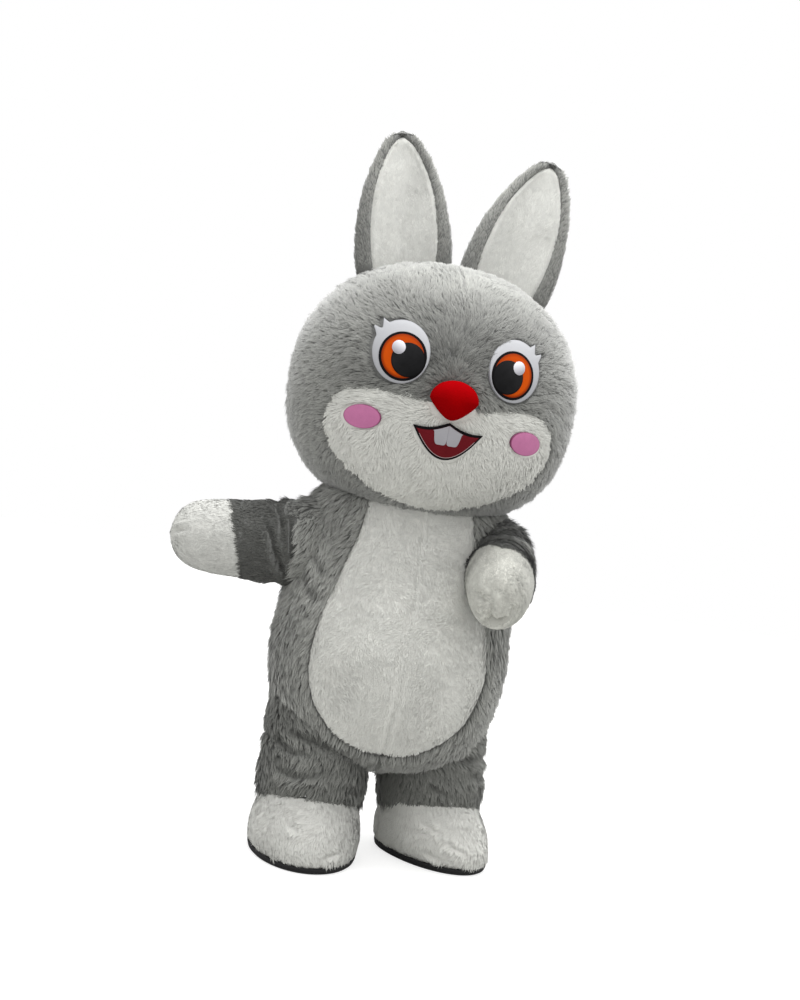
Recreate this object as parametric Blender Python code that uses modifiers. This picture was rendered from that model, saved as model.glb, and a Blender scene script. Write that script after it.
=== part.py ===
"""Rabbit mascot costume: a hollow fur suit with mitts and soled feet, and a big ball head with two ears.

Metres, +Z up, the front faces -Y, and the wearer's left is +X. Tables give heights above the floor;
the origin is the middle of the neck opening, where the wearer carries the costume.
"""

import math
from collections import namedtuple

import bmesh
import bpy
import numpy as np
from mathutils import Matrix, Vector

MM = 0.001
CLOTH = 3.0 * MM  # fur cloth: its backing and the pile, as one wall
SEAM = 0.3 * MM  # gap between two sewn pieces
CARRY_HEIGHT = 1.005  # the neck opening, above the floor
FAR = 2.0  # reach of the half-space cutters

Colour = namedtuple("Colour", "name red green blue roughness")
GREY_FUR = Colour("grey_fur", 0.27, 0.275, 0.26, 0.9)
WHITE_FUR = Colour("white_fur", 0.72, 0.73, 0.68, 0.9)
EAR_PLUSH = Colour("ear_plush", 0.74, 0.75, 0.70, 0.85)
SOLE_RUBBER = Colour("sole_rubber", 0.02, 0.02, 0.02, 0.8)
EYE_WHITE = Colour("eye_white", 0.70, 0.70, 0.72, 0.45)
LINE_BLACK = Colour("line_black", 0.015, 0.015, 0.015, 0.5)
IRIS_ORANGE = Colour("iris_orange", 0.75, 0.16, 0.01, 0.4)
PUPIL_BLACK = Colour("pupil_black", 0.02, 0.02, 0.02, 0.3)
NOSE_RED = Colour("nose_red", 0.55, 0.005, 0.01, 0.6)
MOUTH_RED = Colour("mouth_red", 0.16, 0.015, 0.02, 0.7)
TOOTH_WHITE = Colour("tooth_white", 0.55, 0.55, 0.58, 0.6)
CHEEK_PINK = Colour("cheek_pink", 0.60, 0.20, 0.36, 0.7)
ZIP_GREY = Colour("zip_grey", 0.12, 0.12, 0.12, 0.6)

# ---------------------------------------------------------------- body suit
TORSO_AROUND = 36
TorsoSection = namedtuple("TorsoSection", "height half_width front back")
TORSO_BOTTOM = 0.250
TORSO = [
    TorsoSection(0.256, 0.085, 0.060, 0.070),
    TorsoSection(0.282, 0.190, 0.136, 0.146),
    TorsoSection(0.325, 0.258, 0.206, 0.202),
    TorsoSection(0.385, 0.302, 0.250, 0.240),
    TorsoSection(0.455, 0.326, 0.288, 0.264),
    TorsoSection(0.530, 0.338, 0.314, 0.279),
    TorsoSection(0.610, 0.342, 0.330, 0.286),
    TorsoSection(0.700, 0.334, 0.320, 0.282),
    TorsoSection(0.790, 0.327, 0.294, 0.270),
    TorsoSection(0.870, 0.323, 0.262, 0.256),
    TorsoSection(0.945, 0.316, 0.230, 0.238),
    TorsoSection(1.005, 0.294, 0.204, 0.218),
    TorsoSection(1.060, 0.252, 0.184, 0.196),
    TorsoSection(1.110, 0.210, 0.170, 0.180),
]

BellyRow = namedtuple("BellyRow", "height half_width")
BELLY = [
    BellyRow(0.328, 0.000),
    BellyRow(0.336, 0.080),
    BellyRow(0.372, 0.150),
    BellyRow(0.430, 0.210),
    BellyRow(0.500, 0.241),
    BellyRow(0.580, 0.254),
    BellyRow(0.660, 0.247),
    BellyRow(0.750, 0.228),
    BellyRow(0.850, 0.196),
    BellyRow(0.940, 0.167),
    BellyRow(1.100, 0.142),
]
BELLY_STEPS = 2  # rows of its outline for each row of the table

ZIP_WIDTH = 12 * MM
ZIP_START = 0.36

LEG_AROUND = 20
LegSection = namedtuple("LegSection", "height half_width half_depth tilt")
# tilt: how far the ring rises for each metre towards the toe
LEG = [
    LegSection(0.150, 0.150, 0.150, 0.24),
    LegSection(0.182, 0.157, 0.157, 0.16),
    LegSection(0.225, 0.159, 0.160, 0.08),
    LegSection(0.265, 0.156, 0.158, 0.04),
    LegSection(0.300, 0.158, 0.160, 0.02),
    LegSection(0.322, 0.152, 0.153, 0.00),
    LegSection(0.342, 0.158, 0.161, 0.00),
    LegSection(0.390, 0.156, 0.159, 0.00),
    LegSection(0.450, 0.150, 0.154, 0.00),
]

# where each leg leaves the body, where its toe points, and how far its foot lies outwards and
# forwards of that for each metre down the leg
Stance = namedtuple("Stance", "x y toe_out spread stride")
STANCE = {
    "right": Stance(-0.165, -0.015, math.radians(-4), 0.00, 0.12),
    "left": Stance(0.168, 0.035, math.radians(20), 0.13, -0.15),
}
FootSection = namedtuple("FootSection", "height heel toe half_width tilt")
FOOT = [
    FootSection(0.0183, 0.152, 0.246, 0.156, 0.00),
    FootSection(0.034, 0.160, 0.257, 0.164, 0.00),
    FootSection(0.064, 0.163, 0.254, 0.166, 0.02),
    FootSection(0.094, 0.160, 0.233, 0.163, 0.07),
    FootSection(0.122, 0.155, 0.196, 0.157, 0.15),
    FootSection(0.1497, 0.150, 0.150, 0.150, 0.24),
]
# the sole's rings: height, and share of the foot's lowest ring
SOLE = [(0.0, 0.955), (0.004, 0.985), (0.018, 1.0)]

# ---------------------------------------------------------------- arms
ARM_AROUND = 16
ArmSection = namedtuple("ArmSection", "x y height half_depth half_height")
# the narrower sections are creases beside the armhole and at the elbow
RAISED_ARM = [
    ArmSection(-0.200, -0.030, 0.880, 0.108, 0.132),
    ArmSection(-0.290, -0.030, 0.869, 0.112, 0.128),
    ArmSection(-0.325, -0.030, 0.864, 0.106, 0.121),
    ArmSection(-0.348, -0.030, 0.861, 0.113, 0.127),
    ArmSection(-0.371, -0.030, 0.858, 0.105, 0.118),
    ArmSection(-0.400, -0.030, 0.855, 0.109, 0.122),
    ArmSection(-0.440, -0.030, 0.852, 0.104, 0.117),
    ArmSection(-0.500, -0.030, 0.848, 0.099, 0.112),
    ArmSection(-0.560, -0.030, 0.846, 0.095, 0.108),
    ArmSection(-0.610, -0.030, 0.844, 0.085, 0.097),
    ArmSection(-0.645, -0.030, 0.842, 0.067, 0.076),
    ArmSection(-0.668, -0.030, 0.841, 0.040, 0.045),
]
RAISED_TIP = (-0.679, -0.030, 0.841)
BENT_ARM = [
    ArmSection(0.228, 0.030, 0.910, 0.060, 0.080),
    ArmSection(0.232, -0.030, 0.912, 0.082, 0.104),
    ArmSection(0.248, -0.090, 0.907, 0.100, 0.116),
    ArmSection(0.251, -0.140, 0.896, 0.096, 0.111),
    ArmSection(0.245, -0.170, 0.887, 0.101, 0.115),
    ArmSection(0.241, -0.200, 0.881, 0.094, 0.108),
    ArmSection(0.235, -0.240, 0.871, 0.100, 0.112),
    ArmSection(0.226, -0.300, 0.861, 0.097, 0.109),
    ArmSection(0.214, -0.360, 0.851, 0.092, 0.105),
    ArmSection(0.202, -0.420, 0.841, 0.085, 0.099),
    ArmSection(0.192, -0.465, 0.834, 0.072, 0.085),
    ArmSection(0.182, -0.498, 0.827, 0.050, 0.060),
    ArmSection(0.178, -0.515, 0.824, 0.025, 0.030),
]
BENT_TIP = (0.177, -0.521, 0.823)
# a mitt's seam: a point of it, and how far it leans from square
Cuff = namedtuple("Cuff", "point lean")
CUFF = {"right": Cuff((-0.490, 0.0, 0.849), math.radians(-16)), "left": Cuff((0.0, -0.330, 0.850), 0.0)}

# ---------------------------------------------------------------- head
HEAD_AROUND = 36
HEAD_ROWS = 13
HEAD_CENTRE = 1.353
HEAD_HALF_WIDTH = 0.414
HEAD_FRONT = 0.388
HEAD_BACK = 0.365
HEAD_HALF_HEIGHT = 0.363
CROWN_POWER = 2.15  # how square the upper half is; 2 is an ellipse
CHIN_POWER = 2.5
NECK_SHARE = 0.42  # the neck opening's radius, as a share of the head's
CROWN_SEAM = 0.015  # the ear-to-ear seam, behind the middle

MuzzleRow = namedtuple("MuzzleRow", "half_width height")
MUZZLE = [
    MuzzleRow(0.000, 1.030),
    MuzzleRow(0.075, 1.036),
    MuzzleRow(0.152, 1.062),
    MuzzleRow(0.230, 1.106),
    MuzzleRow(0.280, 1.148),
    MuzzleRow(0.308, 1.196),
    MuzzleRow(0.314, 1.242),
    MuzzleRow(0.299, 1.292),
    MuzzleRow(0.264, 1.320),
    MuzzleRow(0.212, 1.329),
    MuzzleRow(0.140, 1.324),
    MuzzleRow(0.068, 1.314),
    MuzzleRow(0.000, 1.306),
]

EAR_AROUND = 16
# the middle of each ear's base, and how far the ear leans outwards
EarPlace = namedtuple("EarPlace", "x y height splay")
EAR_PLACE = {
    "right": EarPlace(-0.127, 0.020, 1.618, math.radians(-10)),
    "left": EarPlace(0.140, 0.020, 1.618, math.radians(13)),
}
EarSection = namedtuple("EarSection", "along half_width front back inner")
EAR = [
    EarSection(0.000, 0.132, 0.040, 0.048, 0.080),
    EarSection(0.080, 0.143, 0.052, 0.055, 0.091),
    EarSection(0.160, 0.143, 0.056, 0.058, 0.096),
    EarSection(0.235, 0.133, 0.053, 0.055, 0.092),
    EarSection(0.307, 0.115, 0.047, 0.049, 0.079),
    EarSection(0.372, 0.090, 0.038, 0.040, 0.055),
    EarSection(0.422, 0.063, 0.027, 0.028, 0.028),
    EarSection(0.450, 0.039, 0.016, 0.017, 0.000),
]
EAR_LENGTH = 0.466
EAR_INNER_TIP = 0.022  # the inner panel's point, past its last section
EAR_DISH = 0.14  # how much of the front's depth is left in its middle

# ---------------------------------------------------------------- face
FacePart = namedtuple("FacePart", "x height half_width half_height")
EYE = FacePart(0.155, 1.432, 0.074, 0.085)
EYE_LINE = FacePart(0.149, 1.419, 0.061, 0.065)
IRIS = FacePart(0.149, 1.419, 0.056, 0.060)
PUPIL = FacePart(0.134, 1.411, 0.043, 0.045)
GLINT = FacePart(0.161, 1.440, 0.017, 0.018)
CHEEK = FacePart(0.226, 1.246, 0.047, 0.032)
EYE_POINTS = 20
GLINT_POINTS = 12
EYE_THICKNESS = 4 * MM
TRIM_THICKNESS = 2 * MM
LASHES = [(math.radians(32), 0.022), (math.radians(51), 0.019)]  # direction, length
LASH_SPREAD = 0.15  # radians, either side
LASH_CURL = 0.06  # radians that its point leans up from its middle

NOSE_WIDTH = 0.132
NOSE_HEIGHT = 0.106
NOSE_DEPTH = 0.045
NOSE_MIDDLE = 1.326
NOSE_TAPER = 0.45
NOSE_AROUND = 18
MOUTH_HALF_WIDTH = 0.095
MOUTH_CORNER = 1.247
MOUTH_TOP = 1.266
MOUTH_DEPTH = 0.080  # from the corners down to the lip
MOUTH_SAG = 0.006  # how far the two upper arcs hang
MOUTH_NARROWING = 2.1  # 1 is an ellipse below the corners, and more is nearer a V
CUSP_SHARPNESS = 1.4
CORNER_PULL = 1.6  # how far the line's width moves its corners in
MOUTH_POINTS = 12
LINE_WIDTH = 6 * MM
TOOTH_WIDTH = 0.043
TOOTH_HEIGHT = 0.064
TOOTH_MIDDLE = 1.238
TOOTH_POINTS = 16
TOOTH_SQUARENESS = 0.5  # 1 is an oval, and 0 a rectangle
TOOTH_TAPER = 0.28  # share of its width that it loses by its lower edge


def material(colour):
    """The Principled material of that name, made the first time it is asked for."""
    found = bpy.data.materials.get(colour.name)
    if found:
        return found
    made = bpy.data.materials.new(colour.name)
    made.use_nodes = True
    shader = made.node_tree.nodes["Principled BSDF"]
    shader.inputs["Base Color"].default_value = (colour.red, colour.green, colour.blue, 1)
    shader.inputs["Roughness"].default_value = colour.roughness
    return made


def new_collection(name):
    made = bpy.data.collections.new(name)
    bpy.context.scene.collection.children.link(made)
    return made


def add_object(name, mesh, collection):
    made = bpy.data.objects.new(name, mesh)
    collection.objects.link(made)
    return made


def add_piece(name, mesh, colour):
    """A named piece of the costume, in its own material."""
    made = add_object(name, mesh.copy(), bpy.data.collections["rabbit_costume"])
    made.data.materials.append(material(colour))
    return made


def add_cutter(name, mesh):
    made = add_object(name, mesh, bpy.data.collections["cutters"])
    made.hide_render = True
    made.display_type = "WIRE"
    return made


def thicken(piece, thickness=CLOTH):
    """Gives an open surface its wall, on the inside."""
    wall = piece.modifiers.new("cloth", "SOLIDIFY")
    wall.thickness = thickness
    wall.offset = -1
    wall.use_even_offset = True
    return wall


def cut(piece, *cutters):
    for cutter in cutters:
        step = piece.modifiers.new("cut " + cutter.name, "BOOLEAN")
        step.operation = "DIFFERENCE"
        step.object = cutter


def keep_inside(piece, *cutters):
    for cutter in cutters:
        step = piece.modifiers.new("keep " + cutter.name, "BOOLEAN")
        step.operation = "INTERSECT"
        step.object = cutter


def smooth(rows, steps):
    """The rows of a table with more of them between, on a Catmull-Rom curve through them."""
    table = np.array(rows, float)
    ends = np.vstack([2 * table[0] - table[1], table, 2 * table[-1] - table[-2]])
    found = []
    for i in range(1, len(ends) - 2):
        before, start, end, after = ends[i - 1 : i + 3]
        for step in range(steps):
            t = step / steps
            bend = 2 * before - 5 * start + 4 * end - after
            twist = -before + 3 * start - 3 * end + after
            found.append(start + 0.5 * ((end - before) * t + bend * t**2 + twist * t**3))
    found.append(table[-1])
    return [type(rows[0])(*row) for row in found]


def angles(count):
    return [2 * math.pi * i / count for i in range(count)]


def outward(rings, tip=None):
    """The unit normal at every point of a stack of rings."""
    stack = rings if tip is None else np.concatenate([rings, np.repeat([[tip]], rings.shape[1], 1)])
    around = np.roll(rings, -1, axis=1) - np.roll(rings, 1, axis=1)
    along = np.gradient(stack, axis=0)[: len(rings)]
    normals = np.cross(around, along)
    return normals / np.linalg.norm(normals, axis=2, keepdims=True)


def add_ring(bm, points):
    return [bm.verts.new(point) for point in points]


def bridge(bm, lower, upper):
    """Joins two rings with triangles, all split the same way so that a grown copy stays parallel."""
    count = len(lower)
    for i in range(count):
        after = (i + 1) % count
        bm.faces.new((lower[i], lower[after], upper[after]))
        bm.faces.new((lower[i], upper[after], upper[i]))


def fan(bm, ring, point, upwards):
    """Closes a ring with triangles to a point above it or below it."""
    middle = bm.verts.new(point)
    count = len(ring)
    for i in range(count):
        after = (i + 1) % count
        corners = (ring[i], ring[after], middle) if upwards else (ring[after], ring[i], middle)
        bm.faces.new(corners)


def finished(bm, name):
    mesh = bpy.data.meshes.new(name)
    bm.to_mesh(mesh)
    bm.free()
    mesh.shade_smooth()
    return mesh


def loft(name, rings, start=None, end=None):
    """A surface through rings, with a point at either end where one is given."""
    bm = bmesh.new()
    loops = [add_ring(bm, ring) for ring in rings]
    for lower, upper in zip(loops, loops[1:]):
        bridge(bm, lower, upper)
    if start is not None:
        fan(bm, loops[0], start, upwards=False)
    if end is not None:
        fan(bm, loops[-1], end, upwards=True)
    return finished(bm, name)


def filled(name, rings, grow, tip=None, foot=None):
    """The closed solid of a stack of rings, grown by that much all round."""
    grown = rings + outward(rings, tip) * grow
    rise = grown[-1].mean(0) - grown[-2].mean(0)
    top = grown[-1].mean(0) if tip is None else np.array(tip) + grow * rise / np.linalg.norm(rise)
    bottom = grown[0].mean(0) if foot is None else np.array(foot) - Vector((0, 0, grow))
    return loft(name, grown, start=bottom, end=top)


def box(name, low, high):
    bm = bmesh.new()
    bmesh.ops.create_cube(bm, size=1)
    size = [b - a for a, b in zip(low, high)]
    middle = [(a + b) / 2 for a, b in zip(low, high)]
    bmesh.ops.scale(bm, vec=size, verts=bm.verts)
    bmesh.ops.translate(bm, vec=middle, verts=bm.verts)
    return finished(bm, name)


def prism(name, outline, front, back):
    """An outline of (x, height) points, run from front to back along Y."""
    bm = bmesh.new()
    corners = [bm.verts.new((x, front, height - CARRY_HEIGHT)) for x, height in outline]
    face = bm.faces.new(corners)
    extruded = bmesh.ops.extrude_face_region(bm, geom=[face])["geom"]
    moved = [item for item in extruded if isinstance(item, bmesh.types.BMVert)]
    bmesh.ops.translate(bm, vec=(0, back - front, 0), verts=moved)
    bmesh.ops.recalc_face_normals(bm, faces=bm.faces)
    return finished(bm, name)


def grown_outline(outline, grow):
    """A closed outline, anticlockwise, moved out by that much."""
    points = np.array(outline)
    along = np.roll(points, -1, axis=0) - np.roll(points, 1, axis=0)
    out = np.stack([along[:, 1], -along[:, 0]], axis=1)
    return points + grow * out / np.linalg.norm(out, axis=1, keepdims=True)


def closed_outline(rows):
    """Both sides of a table of half widths, as one anticlockwise outline that starts at the bottom."""
    right = [(row.half_width, row.height) for row in rows]
    left = [(-x, height) for x, height in reversed(right) if x > 0]
    return right + left


# ---------------------------------------------------------------- torso and legs
def torso_rings():
    rings = []
    for row in TORSO:
        ring = []
        for angle in angles(TORSO_AROUND):
            depth = row.back if math.sin(angle) > 0 else row.front
            x, y = row.half_width * math.cos(angle), depth * math.sin(angle)
            ring.append((x, y, row.height - CARRY_HEIGHT))
        rings.append(ring)
    return np.array(rings)


def stand(side, x, y, height, tilt):
    """A point of a foot's own frame, where -Y is the toe, set down in the costume's stance."""
    place = STANCE[side]
    cos, sin = math.cos(place.toe_out), math.sin(place.toe_out)
    down = LEG[-1].height - height
    middle = (place.x + place.spread * down, place.y - place.stride * down)
    return (x * cos - y * sin + middle[0], x * sin + y * cos + middle[1], height - tilt * y - CARRY_HEIGHT)


def leg_rings(side):
    rings = []
    for row in LEG:
        ring = []
        for angle in angles(LEG_AROUND):
            x, y = row.half_width * math.cos(angle), row.half_depth * math.sin(angle)
            ring.append(stand(side, x, y, row.height, row.tilt))
        rings.append(ring)
    return np.array(rings)


def foot_rings(side):
    rings = []
    for row in FOOT:
        ring = []
        for angle in angles(LEG_AROUND):
            reach = row.toe if math.sin(angle) < 0 else row.heel
            x, y = row.half_width * math.cos(angle), reach * math.sin(angle)
            ring.append(stand(side, x, y, row.height, row.tilt))
        rings.append(ring)
    return np.array(rings)


def arm_rings(table):
    """Rings across an arm's path, each square to the path."""
    middles = np.array([(row.x, row.y, row.height - CARRY_HEIGHT) for row in table])
    ahead = np.gradient(middles, axis=0)
    rings = []
    for row, middle, forward in zip(table, middles, ahead):
        forward = Vector(forward).normalized()
        across = forward.cross(Vector((0, 0, 1))).normalized()
        upright = across.cross(forward)
        ring = []
        for angle in angles(ARM_AROUND):
            side = across * (-row.half_depth * math.cos(angle))
            ring.append(Vector(middle) + side + upright * (row.half_height * math.sin(angle)))
        rings.append(ring)
    return np.array(rings)


def build_suit():
    torso = torso_rings()
    torso_foot = (0, 0, TORSO_BOTTOM - CARRY_HEIGHT)
    torso_mesh = loft("torso", torso, start=torso_foot)
    torso_solid = add_cutter("torso_solid", filled("torso_solid", torso, SEAM, foot=torso_foot))
    half = SEAM / 2
    quarters = {}
    for side, sign in (("right", -1), ("left", 1)):
        xs = sorted((sign * half, sign * FAR))
        for face, ys in (("front", (-FAR, -half)), ("back", (half, FAR))):
            mesh = box(side + face, (xs[0], ys[0], -FAR), (xs[1], ys[1], FAR))
            quarters[side, face] = add_cutter(f"{side}_{face}_quarter", mesh)
    outline = closed_outline(smooth(BELLY, BELLY_STEPS))
    belly_hole = add_cutter("belly_hole", prism("belly_hole", grown_outline(outline, half), -FAR, 0))
    belly_shape = add_cutter("belly_shape", prism("belly_shape", grown_outline(outline, -half), -FAR, 0))
    zip_low = ZIP_START - CARRY_HEIGHT
    zip_gap = add_cutter("zip_gap", box("zip_gap", (-ZIP_WIDTH / 2, 0, zip_low), (ZIP_WIDTH / 2, FAR, FAR)))
    inset = ZIP_WIDTH / 2 - SEAM
    zip_shape = add_cutter("zip_shape", box("zip_shape", (-inset, SEAM, zip_low + SEAM), (inset, FAR, FAR)))
    head_solid = bpy.data.objects["head_solid"]
    for side in ("right", "left"):
        leg_hole, sleeve_hole = build_leg(side, torso_solid), build_arm(side, torso_solid)
        belly = add_piece(f"belly_{side}", torso_mesh, WHITE_FUR)
        thicken(belly)
        keep_inside(belly, quarters[side, "front"], belly_shape)
        cut(belly, head_solid, sleeve_hole)
        front = add_piece(f"body_front_{side}", torso_mesh, GREY_FUR)
        thicken(front)
        keep_inside(front, quarters[side, "front"])
        cut(front, belly_hole, head_solid, leg_hole, sleeve_hole)
        back = add_piece(f"body_back_{side}", torso_mesh, GREY_FUR)
        thicken(back)
        keep_inside(back, quarters[side, "back"])
        cut(back, zip_gap, head_solid, leg_hole, sleeve_hole)
    zip_strip = add_piece("back_zip", torso_mesh, ZIP_GREY)
    thicken(zip_strip)
    keep_inside(zip_strip, zip_shape)
    cut(zip_strip, head_solid)


def build_leg(side, torso_solid):
    """A leg, its foot and its sole. It returns the solid of the leg's hollow, which opens the torso."""
    rings = leg_rings(side)
    leg = add_piece(f"leg_{side}", loft("leg", rings), GREY_FUR)
    thicken(leg)
    cut(leg, torso_solid)
    feet = foot_rings(side)
    foot = add_piece(f"foot_{side}", loft("foot", feet), WHITE_FUR)
    thicken(foot)
    middle = feet[0].mean(0)
    sole = []
    for height, share in SOLE:
        ring = middle + (feet[0] - middle) * share
        ring[:, 2] = height - CARRY_HEIGHT
        sole.append(ring)
    bottom, top = sole[0].mean(0), sole[-1].mean(0)
    add_piece(f"sole_{side}", loft("sole", np.array(sole), bottom, top), SOLE_RUBBER)
    return add_cutter(f"leg_hollow_{side}", filled("leg_hollow", rings, -CLOTH))


def build_arm(side, torso_solid):
    """A sleeve and its mitt. It returns the solid of the sleeve's hollow, which opens the torso."""
    table, tip = (RAISED_ARM, RAISED_TIP) if side == "right" else (BENT_ARM, BENT_TIP)
    end = (tip[0], tip[1], tip[2] - CARRY_HEIGHT)
    rings = arm_rings(table)
    arm = loft("arm", rings, end=end)
    forward = Vector((-1, 0, 0)) if side == "right" else Vector((0, -1, 0))
    sleeve = add_piece(f"sleeve_{side}", arm, GREY_FUR)
    thicken(sleeve)
    keep_inside(sleeve, cuff_cutter(side, -forward, "sleeve"))
    cut(sleeve, torso_solid, bpy.data.objects["head_solid"])
    mitt = add_piece(f"mitt_{side}", arm, WHITE_FUR)
    thicken(mitt)
    keep_inside(mitt, cuff_cutter(side, forward, "mitt"))
    return add_cutter(f"sleeve_hollow_{side}", filled("sleeve_hollow", rings, -CLOTH, tip=end))


def cuff_cutter(side, towards, name):
    """The half-space on one side of a mitt's seam."""
    cuff = CUFF[side]
    mesh = box(name, (-FAR, -FAR, SEAM / 2), (FAR, FAR, FAR))
    turned = Matrix.Rotation(cuff.lean, 3, "Y") @ towards.to_track_quat("Z", "Y").to_matrix()
    x, y, height = cuff.point
    mesh.transform(Matrix.Translation((x, y, height - CARRY_HEIGHT)) @ turned.to_4x4())
    return add_cutter(f"{name}_side_{side}", mesh)


# ---------------------------------------------------------------- head
def head_share(height):
    """The head's size at a height, as a share of its largest."""
    offset = height - HEAD_CENTRE
    power = CROWN_POWER if offset > 0 else CHIN_POWER
    return max(0.0, 1 - (abs(offset) / HEAD_HALF_HEIGHT) ** power) ** (1 / power)


def head_rings():
    neck_rise = (1 - NECK_SHARE**CHIN_POWER) ** (1 / CHIN_POWER)
    lowest = -math.asin(neck_rise ** (CHIN_POWER / 2))
    rings = []
    for i in range(HEAD_ROWS):
        climb = lowest + (math.pi / 2 - lowest) * i / HEAD_ROWS
        power = CROWN_POWER if climb > 0 else CHIN_POWER
        rise = math.copysign(abs(math.sin(climb)) ** (2 / power), climb)
        share = abs(math.cos(climb)) ** (2 / power)
        height = HEAD_CENTRE + HEAD_HALF_HEIGHT * rise
        ring = []
        for angle in angles(HEAD_AROUND):
            depth = HEAD_BACK if math.sin(angle) > 0 else HEAD_FRONT
            x, y = HEAD_HALF_WIDTH * share * math.cos(angle), depth * share * math.sin(angle)
            ring.append((x, y, height - CARRY_HEIGHT))
        rings.append(ring)
    return np.array(rings)


def face_shell(thickness):
    """The head's own surface moved out, as a skin to cut the pieces of the face from."""
    rings = head_rings()
    crown = (0, 0, HEAD_CENTRE + HEAD_HALF_HEIGHT + thickness - CARRY_HEIGHT)
    return loft("face_shell", rings + outward(rings) * (SEAM + thickness), end=crown)


def face_piece(name, shell, thickness, colour, outlines, holes=()):
    """A piece of the skin inside the outlines, less the outlines of what lies on it."""
    piece = add_piece(name, shell, colour)
    thicken(piece, thickness)
    for i, outline in enumerate(outlines):
        inside = prism(name, grown_outline(outline, -SEAM / 2), -FAR, 0)
        keep_inside(piece, add_cutter(f"{name}_shape_{i}", inside))
    for i, hole in enumerate(holes):
        cut(piece, add_cutter(f"{name}_hole_{i}", prism(name, grown_outline(hole, SEAM / 2), -FAR, 0)))


def oval(part, sign, count=EYE_POINTS):
    """An anticlockwise oval, on the wearer's left for +1 and on the right for -1."""
    return [
        (sign * part.x + part.half_width * math.cos(a), part.height + part.half_height * math.sin(a))
        for a in angles(count)
    ]


def lashed_oval(part, sign):
    """The eye's outline, with a point drawn out at each lash."""
    turns = [(a, 0.0) for a in angles(EYE_POINTS * 2) if all(abs(a - at) > LASH_SPREAD for at, _ in LASHES)]
    for at, length in LASHES:
        turns += [(at - LASH_SPREAD, 0.0), (at + LASH_CURL, length), (at + LASH_SPREAD, 0.0)]
    points = []
    for a, reach in sorted(turns):
        x = part.x + (part.half_width + reach) * math.cos(a)
        points.append((sign * x, part.height + (part.half_height + reach) * math.sin(a)))
    return points if sign > 0 else points[::-1]


def build_face():
    eye_shell, thin_shell = face_shell(EYE_THICKNESS), face_shell(TRIM_THICKNESS)
    for side, sign in (("right", -1), ("left", 1)):
        line, iris, pupil = (oval(part, sign) for part in (EYE_LINE, IRIS, PUPIL))
        glint = oval(GLINT, sign, GLINT_POINTS)
        white = lashed_oval(EYE, sign)
        face_piece(f"eye_white_{side}", eye_shell, EYE_THICKNESS, EYE_WHITE, [white], [line])
        face_piece(f"eye_line_{side}", eye_shell, EYE_THICKNESS, LINE_BLACK, [line], [iris, pupil])
        face_piece(f"iris_{side}", eye_shell, EYE_THICKNESS, IRIS_ORANGE, [iris], [pupil, glint])
        face_piece(f"pupil_{side}", eye_shell, EYE_THICKNESS, PUPIL_BLACK, [pupil], [glint])
        face_piece(f"glint_{side}", eye_shell, EYE_THICKNESS, EYE_WHITE, [glint])
        face_piece(f"cheek_{side}", thin_shell, TRIM_THICKNESS, CHEEK_PINK, [oval(CHEEK, sign)])
    build_nose()
    build_mouth(thin_shell)


def build_nose():
    """A padded nose: a ball narrowed towards its foot, seated on the head."""
    bm = bmesh.new()
    bmesh.ops.create_uvsphere(bm, u_segments=NOSE_AROUND, v_segments=NOSE_AROUND // 2, radius=1)
    for vert in bm.verts:
        narrow = 1 - NOSE_TAPER * max(0.0, -vert.co.z)
        vert.co.x *= NOSE_WIDTH / 2 * narrow
        vert.co.y = vert.co.y * NOSE_DEPTH - HEAD_FRONT * head_share(NOSE_MIDDLE)
        vert.co.z = vert.co.z * NOSE_HEIGHT / 2 + NOSE_MIDDLE - CARRY_HEIGHT
    nose = add_piece("nose", finished(bm, "nose"), NOSE_RED)
    cut(nose, bpy.data.objects["head_solid"])


def mouth_outline(shrink):
    """The open smile, anticlockwise: one deep curve below, and two arcs that meet in a cusp above."""
    half = MOUTH_HALF_WIDTH - CORNER_PULL * shrink
    corner = MOUTH_CORNER - shrink
    deep = MOUTH_DEPTH - 2 * shrink
    points = []
    for i in range(MOUTH_POINTS + 1):
        angle = math.pi + math.pi * i / MOUTH_POINTS
        points.append((half * math.cos(angle), corner - deep * abs(math.sin(angle)) ** MOUTH_NARROWING))
    for i in range(1, MOUTH_POINTS):
        x = half * (1 - 2 * i / MOUTH_POINTS)
        share = abs(x) / half
        cusp = (MOUTH_TOP - MOUTH_CORNER) * (1 - share) ** CUSP_SHARPNESS
        points.append((x, corner + cusp - MOUTH_SAG * math.sin(math.pi * share)))
    return points


def tooth_share(along):
    """The share of its width that a tooth has from 1 at its top to -1 at its lower edge."""
    return 1 - TOOTH_TAPER * (1 - along) / 2


def tooth_outline(middle, half_width):
    """An outline with rounded corners, drawn in towards the face's middle at its lower edge."""
    points = []
    for a in angles(TOOTH_POINTS):
        across = math.copysign(abs(math.cos(a)) ** TOOTH_SQUARENESS, math.cos(a))
        along = math.copysign(abs(math.sin(a)) ** TOOTH_SQUARENESS, math.sin(a))
        x = (middle + half_width * across) * tooth_share(along)
        points.append((x, TOOTH_MIDDLE + TOOTH_HEIGHT / 2 * along))
    return points


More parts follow.
